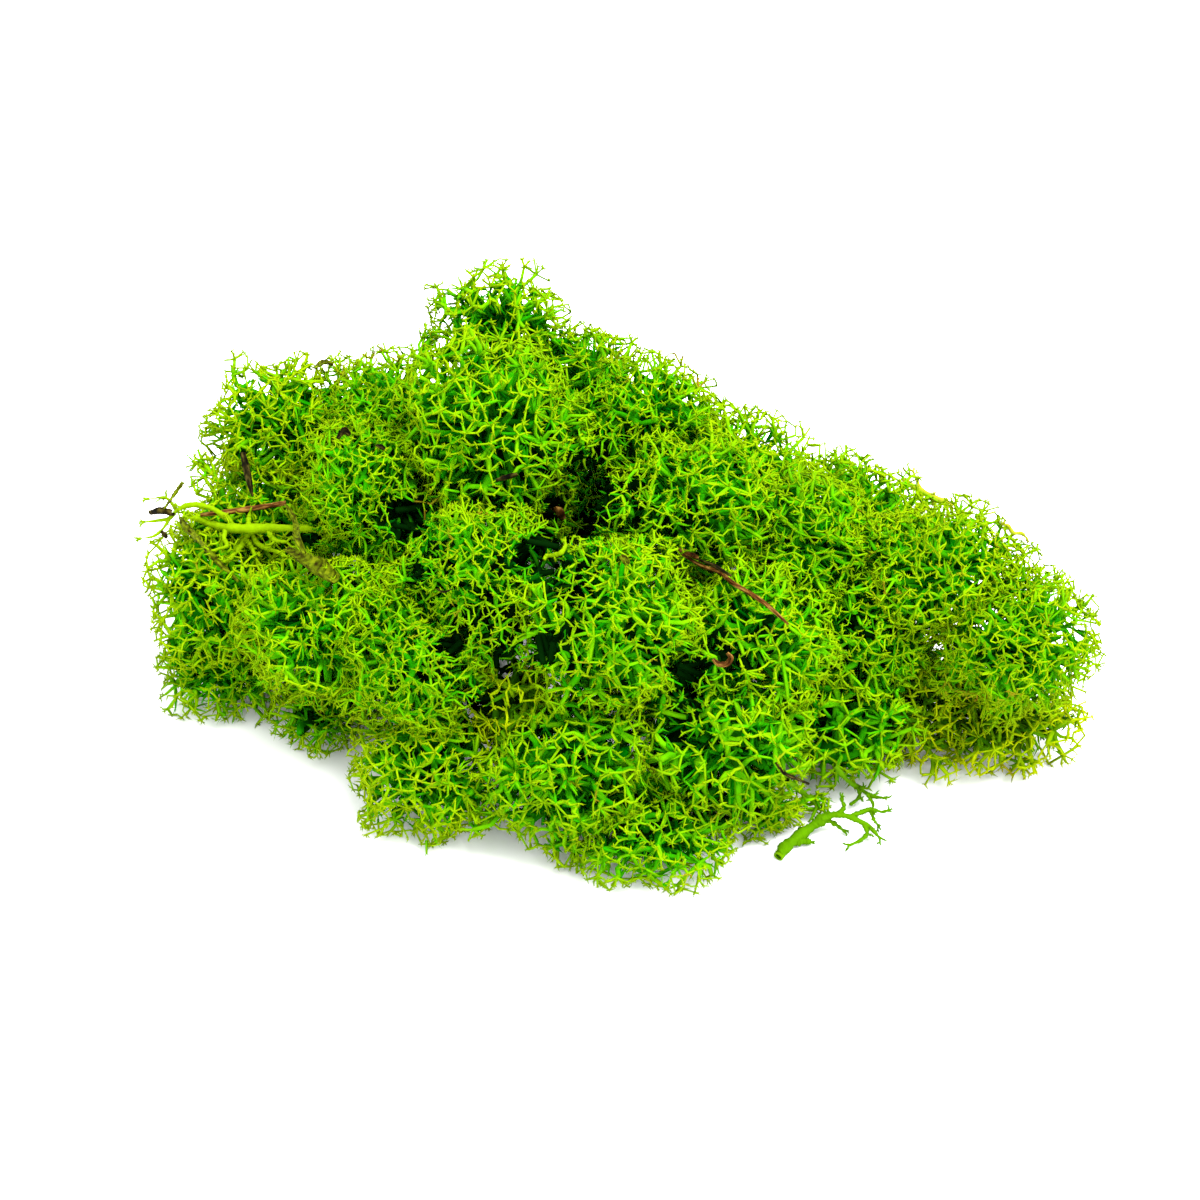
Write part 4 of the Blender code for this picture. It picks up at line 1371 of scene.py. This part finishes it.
def build_tufts(materials):
    names = sorted(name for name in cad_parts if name.endswith("_tuft"))
    solids = {name: solid_of(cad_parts[name]) for name in names}
    tree = tree_of(solids.values())
    for number, name in enumerate(names):
        random = np.random.default_rng((SEED, number))
        style = STYLES[TUFT_STYLES.get(name, "hidden")]
        slot = "lichen_olive" if name in OLIVE_TUFTS else "lichen_green"
        net = grow(name, style, tree, solids[name], random)
        net.piece(name + "_branches", slot, materials[slot], name)
    return tree


def build_caught(materials, cushions):
    for number, (name, caught) in enumerate((CAUGHT | LOOSE).items()):
        random = np.random.default_rng((SEED, number, CAUGHT_STREAM))
        node = name if name in CAUGHT else None
        tree = tree_of([solid_of(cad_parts[name])]) if node else cushions
        place = inside if node else resting
        net = Net(("deep", "tone", "brown", "along", "across", "beside"))
        paths = []
        for arm in caught.arms:
            points = [place(tree, across, up) for across, up, _ in arm]
            paths.append(add_arm(net, caught.kind, points, [radius for _, _, radius in arm], random))
        add_sprigs(net, caught.sprigs, paths, random)
        if name == HOLLOW_PIECE:
            add_hollow_end(net, tree, caught.arms[0])
        slot = FINISH_SLOTS.get(caught.finish, caught.finish)
        net.piece(name + "_detail", slot, materials[caught.finish], node)


def build_gap_stems(materials, cushions):
    """Stems across the bottom of each gap, from rim to rim, in the darkest colour of the ramp: painted shade.
    """
    random = np.random.default_rng((SEED, GAP_STREAM))
    paths = []
    for across, up, reach in np.repeat(GAPS, GAP_STEMS, axis=0):
        turns = random.uniform(0, math.tau, 2)
        marks = np.stack([across + np.cos(turns) * reach, up + np.sin(turns) * reach], axis=1)
        paths.append([resting(cushions, *mark) for mark in marks])
    paths = np.array(paths) - TOWARDS * random.uniform(*GAP_STEM_SINK, (len(paths), 1, 1))
    clear_floor(paths, GAP_STEM_RADIUS)
    net = Net(("deep", "tone", "brown"))
    sections = round_sections(np.full(paths.shape[:2], GAP_STEM_RADIUS), GAP_STEM_SIDES)
    # Painted shade: the darkest colour of the ramp.
    net.add(paths, sections, deep=1.0, tone=ARM_TONE)
    net.piece("gap_stems_painted_dark", "lichen_green", materials["lichen_green"])


def build_materials():
    return {
        "lichen_green": lichen_material("lichen green", GREEN_RAMP),
        "lichen_olive": lichen_material("lichen olive", OLIVE_RAMP),
        "lichen_yellow": lichen_material("lichen yellow", YELLOW_RAMP),
        "lichen_stem": lichen_material("lichen stem", STEM_RAMP, STEM_GRAIN),
        "lichen_branch": lichen_material("lichen branch", BRANCH_RAMP, STEM_GRAIN),
        "needle_red": bark_material("needle red", NEEDLE_RAMP, NEEDLE_STREAK, NEEDLE_GRAIN),
        "bark_brown": bark_material("bark brown", BROWN_RAMP, BROWN_STREAK),
        "bark_olive": bark_material("bark olive", BARK_RAMP, OLIVE_STREAK),
    }


def build_stage():
    made, nodes, links = new_material("table")
    shader = nodes["Principled BSDF"]
    shader.inputs["Base Color"].default_value = (*TABLE_COLOUR, 1)
    shader.inputs["Roughness"].default_value = TABLE_ROUGHNESS
    data = bpy.data.meshes.new("table")
    corners = [(x * TABLE_REACH, y * TABLE_REACH, 0) for x, y in ((-1, -1), (1, -1), (1, 1), (-1, 1))]
    data.from_pydata(corners, [], [(0, 1, 2, 3)])
    data.materials.append(made)
    table = placed("table", data)


def build_lights():
    data = bpy.data.lights.new("key", "SUN")
    data.energy = KEY_STRENGTH
    data.angle = KEY_SOFTNESS
    key = placed("key", data)
    key.rotation_mode = "QUATERNION"
    key.rotation_quaternion = (-Vector(KEY_DIRECTION)).to_track_quat("-Z", "Y")
    world = bpy.data.worlds.new("studio")
    world.use_nodes = True
    world.node_tree.nodes["Background"].inputs["Color"].default_value = (1, 1, 1, 1)
    world.node_tree.nodes["Background"].inputs["Strength"].default_value = STUDIO_STRENGTH
    bpy.context.scene.world = world
    bpy.context.scene.view_settings.view_transform = "Standard"


def build_camera():
    camera = placed("camera", bpy.data.cameras.new("camera"))
    camera.location = EYE
    camera.rotation_mode = "QUATERNION"
    camera.rotation_quaternion = (VIEW_CENTRE - camera.location).to_track_quat("-Z", "Y")
    camera.data.sensor_width = SENSOR_WIDTH
    camera.data.lens = SENSOR_WIDTH * VIEW_DISTANCE / VIEW_WIDTH
    bpy.context.scene.camera = camera


build_camera()
build_lights()
build_stage()
finishes = build_materials()
cushions = build_tufts(finishes)
build_gap_stems(finishes, cushions)
build_caught(finishes, cushions)
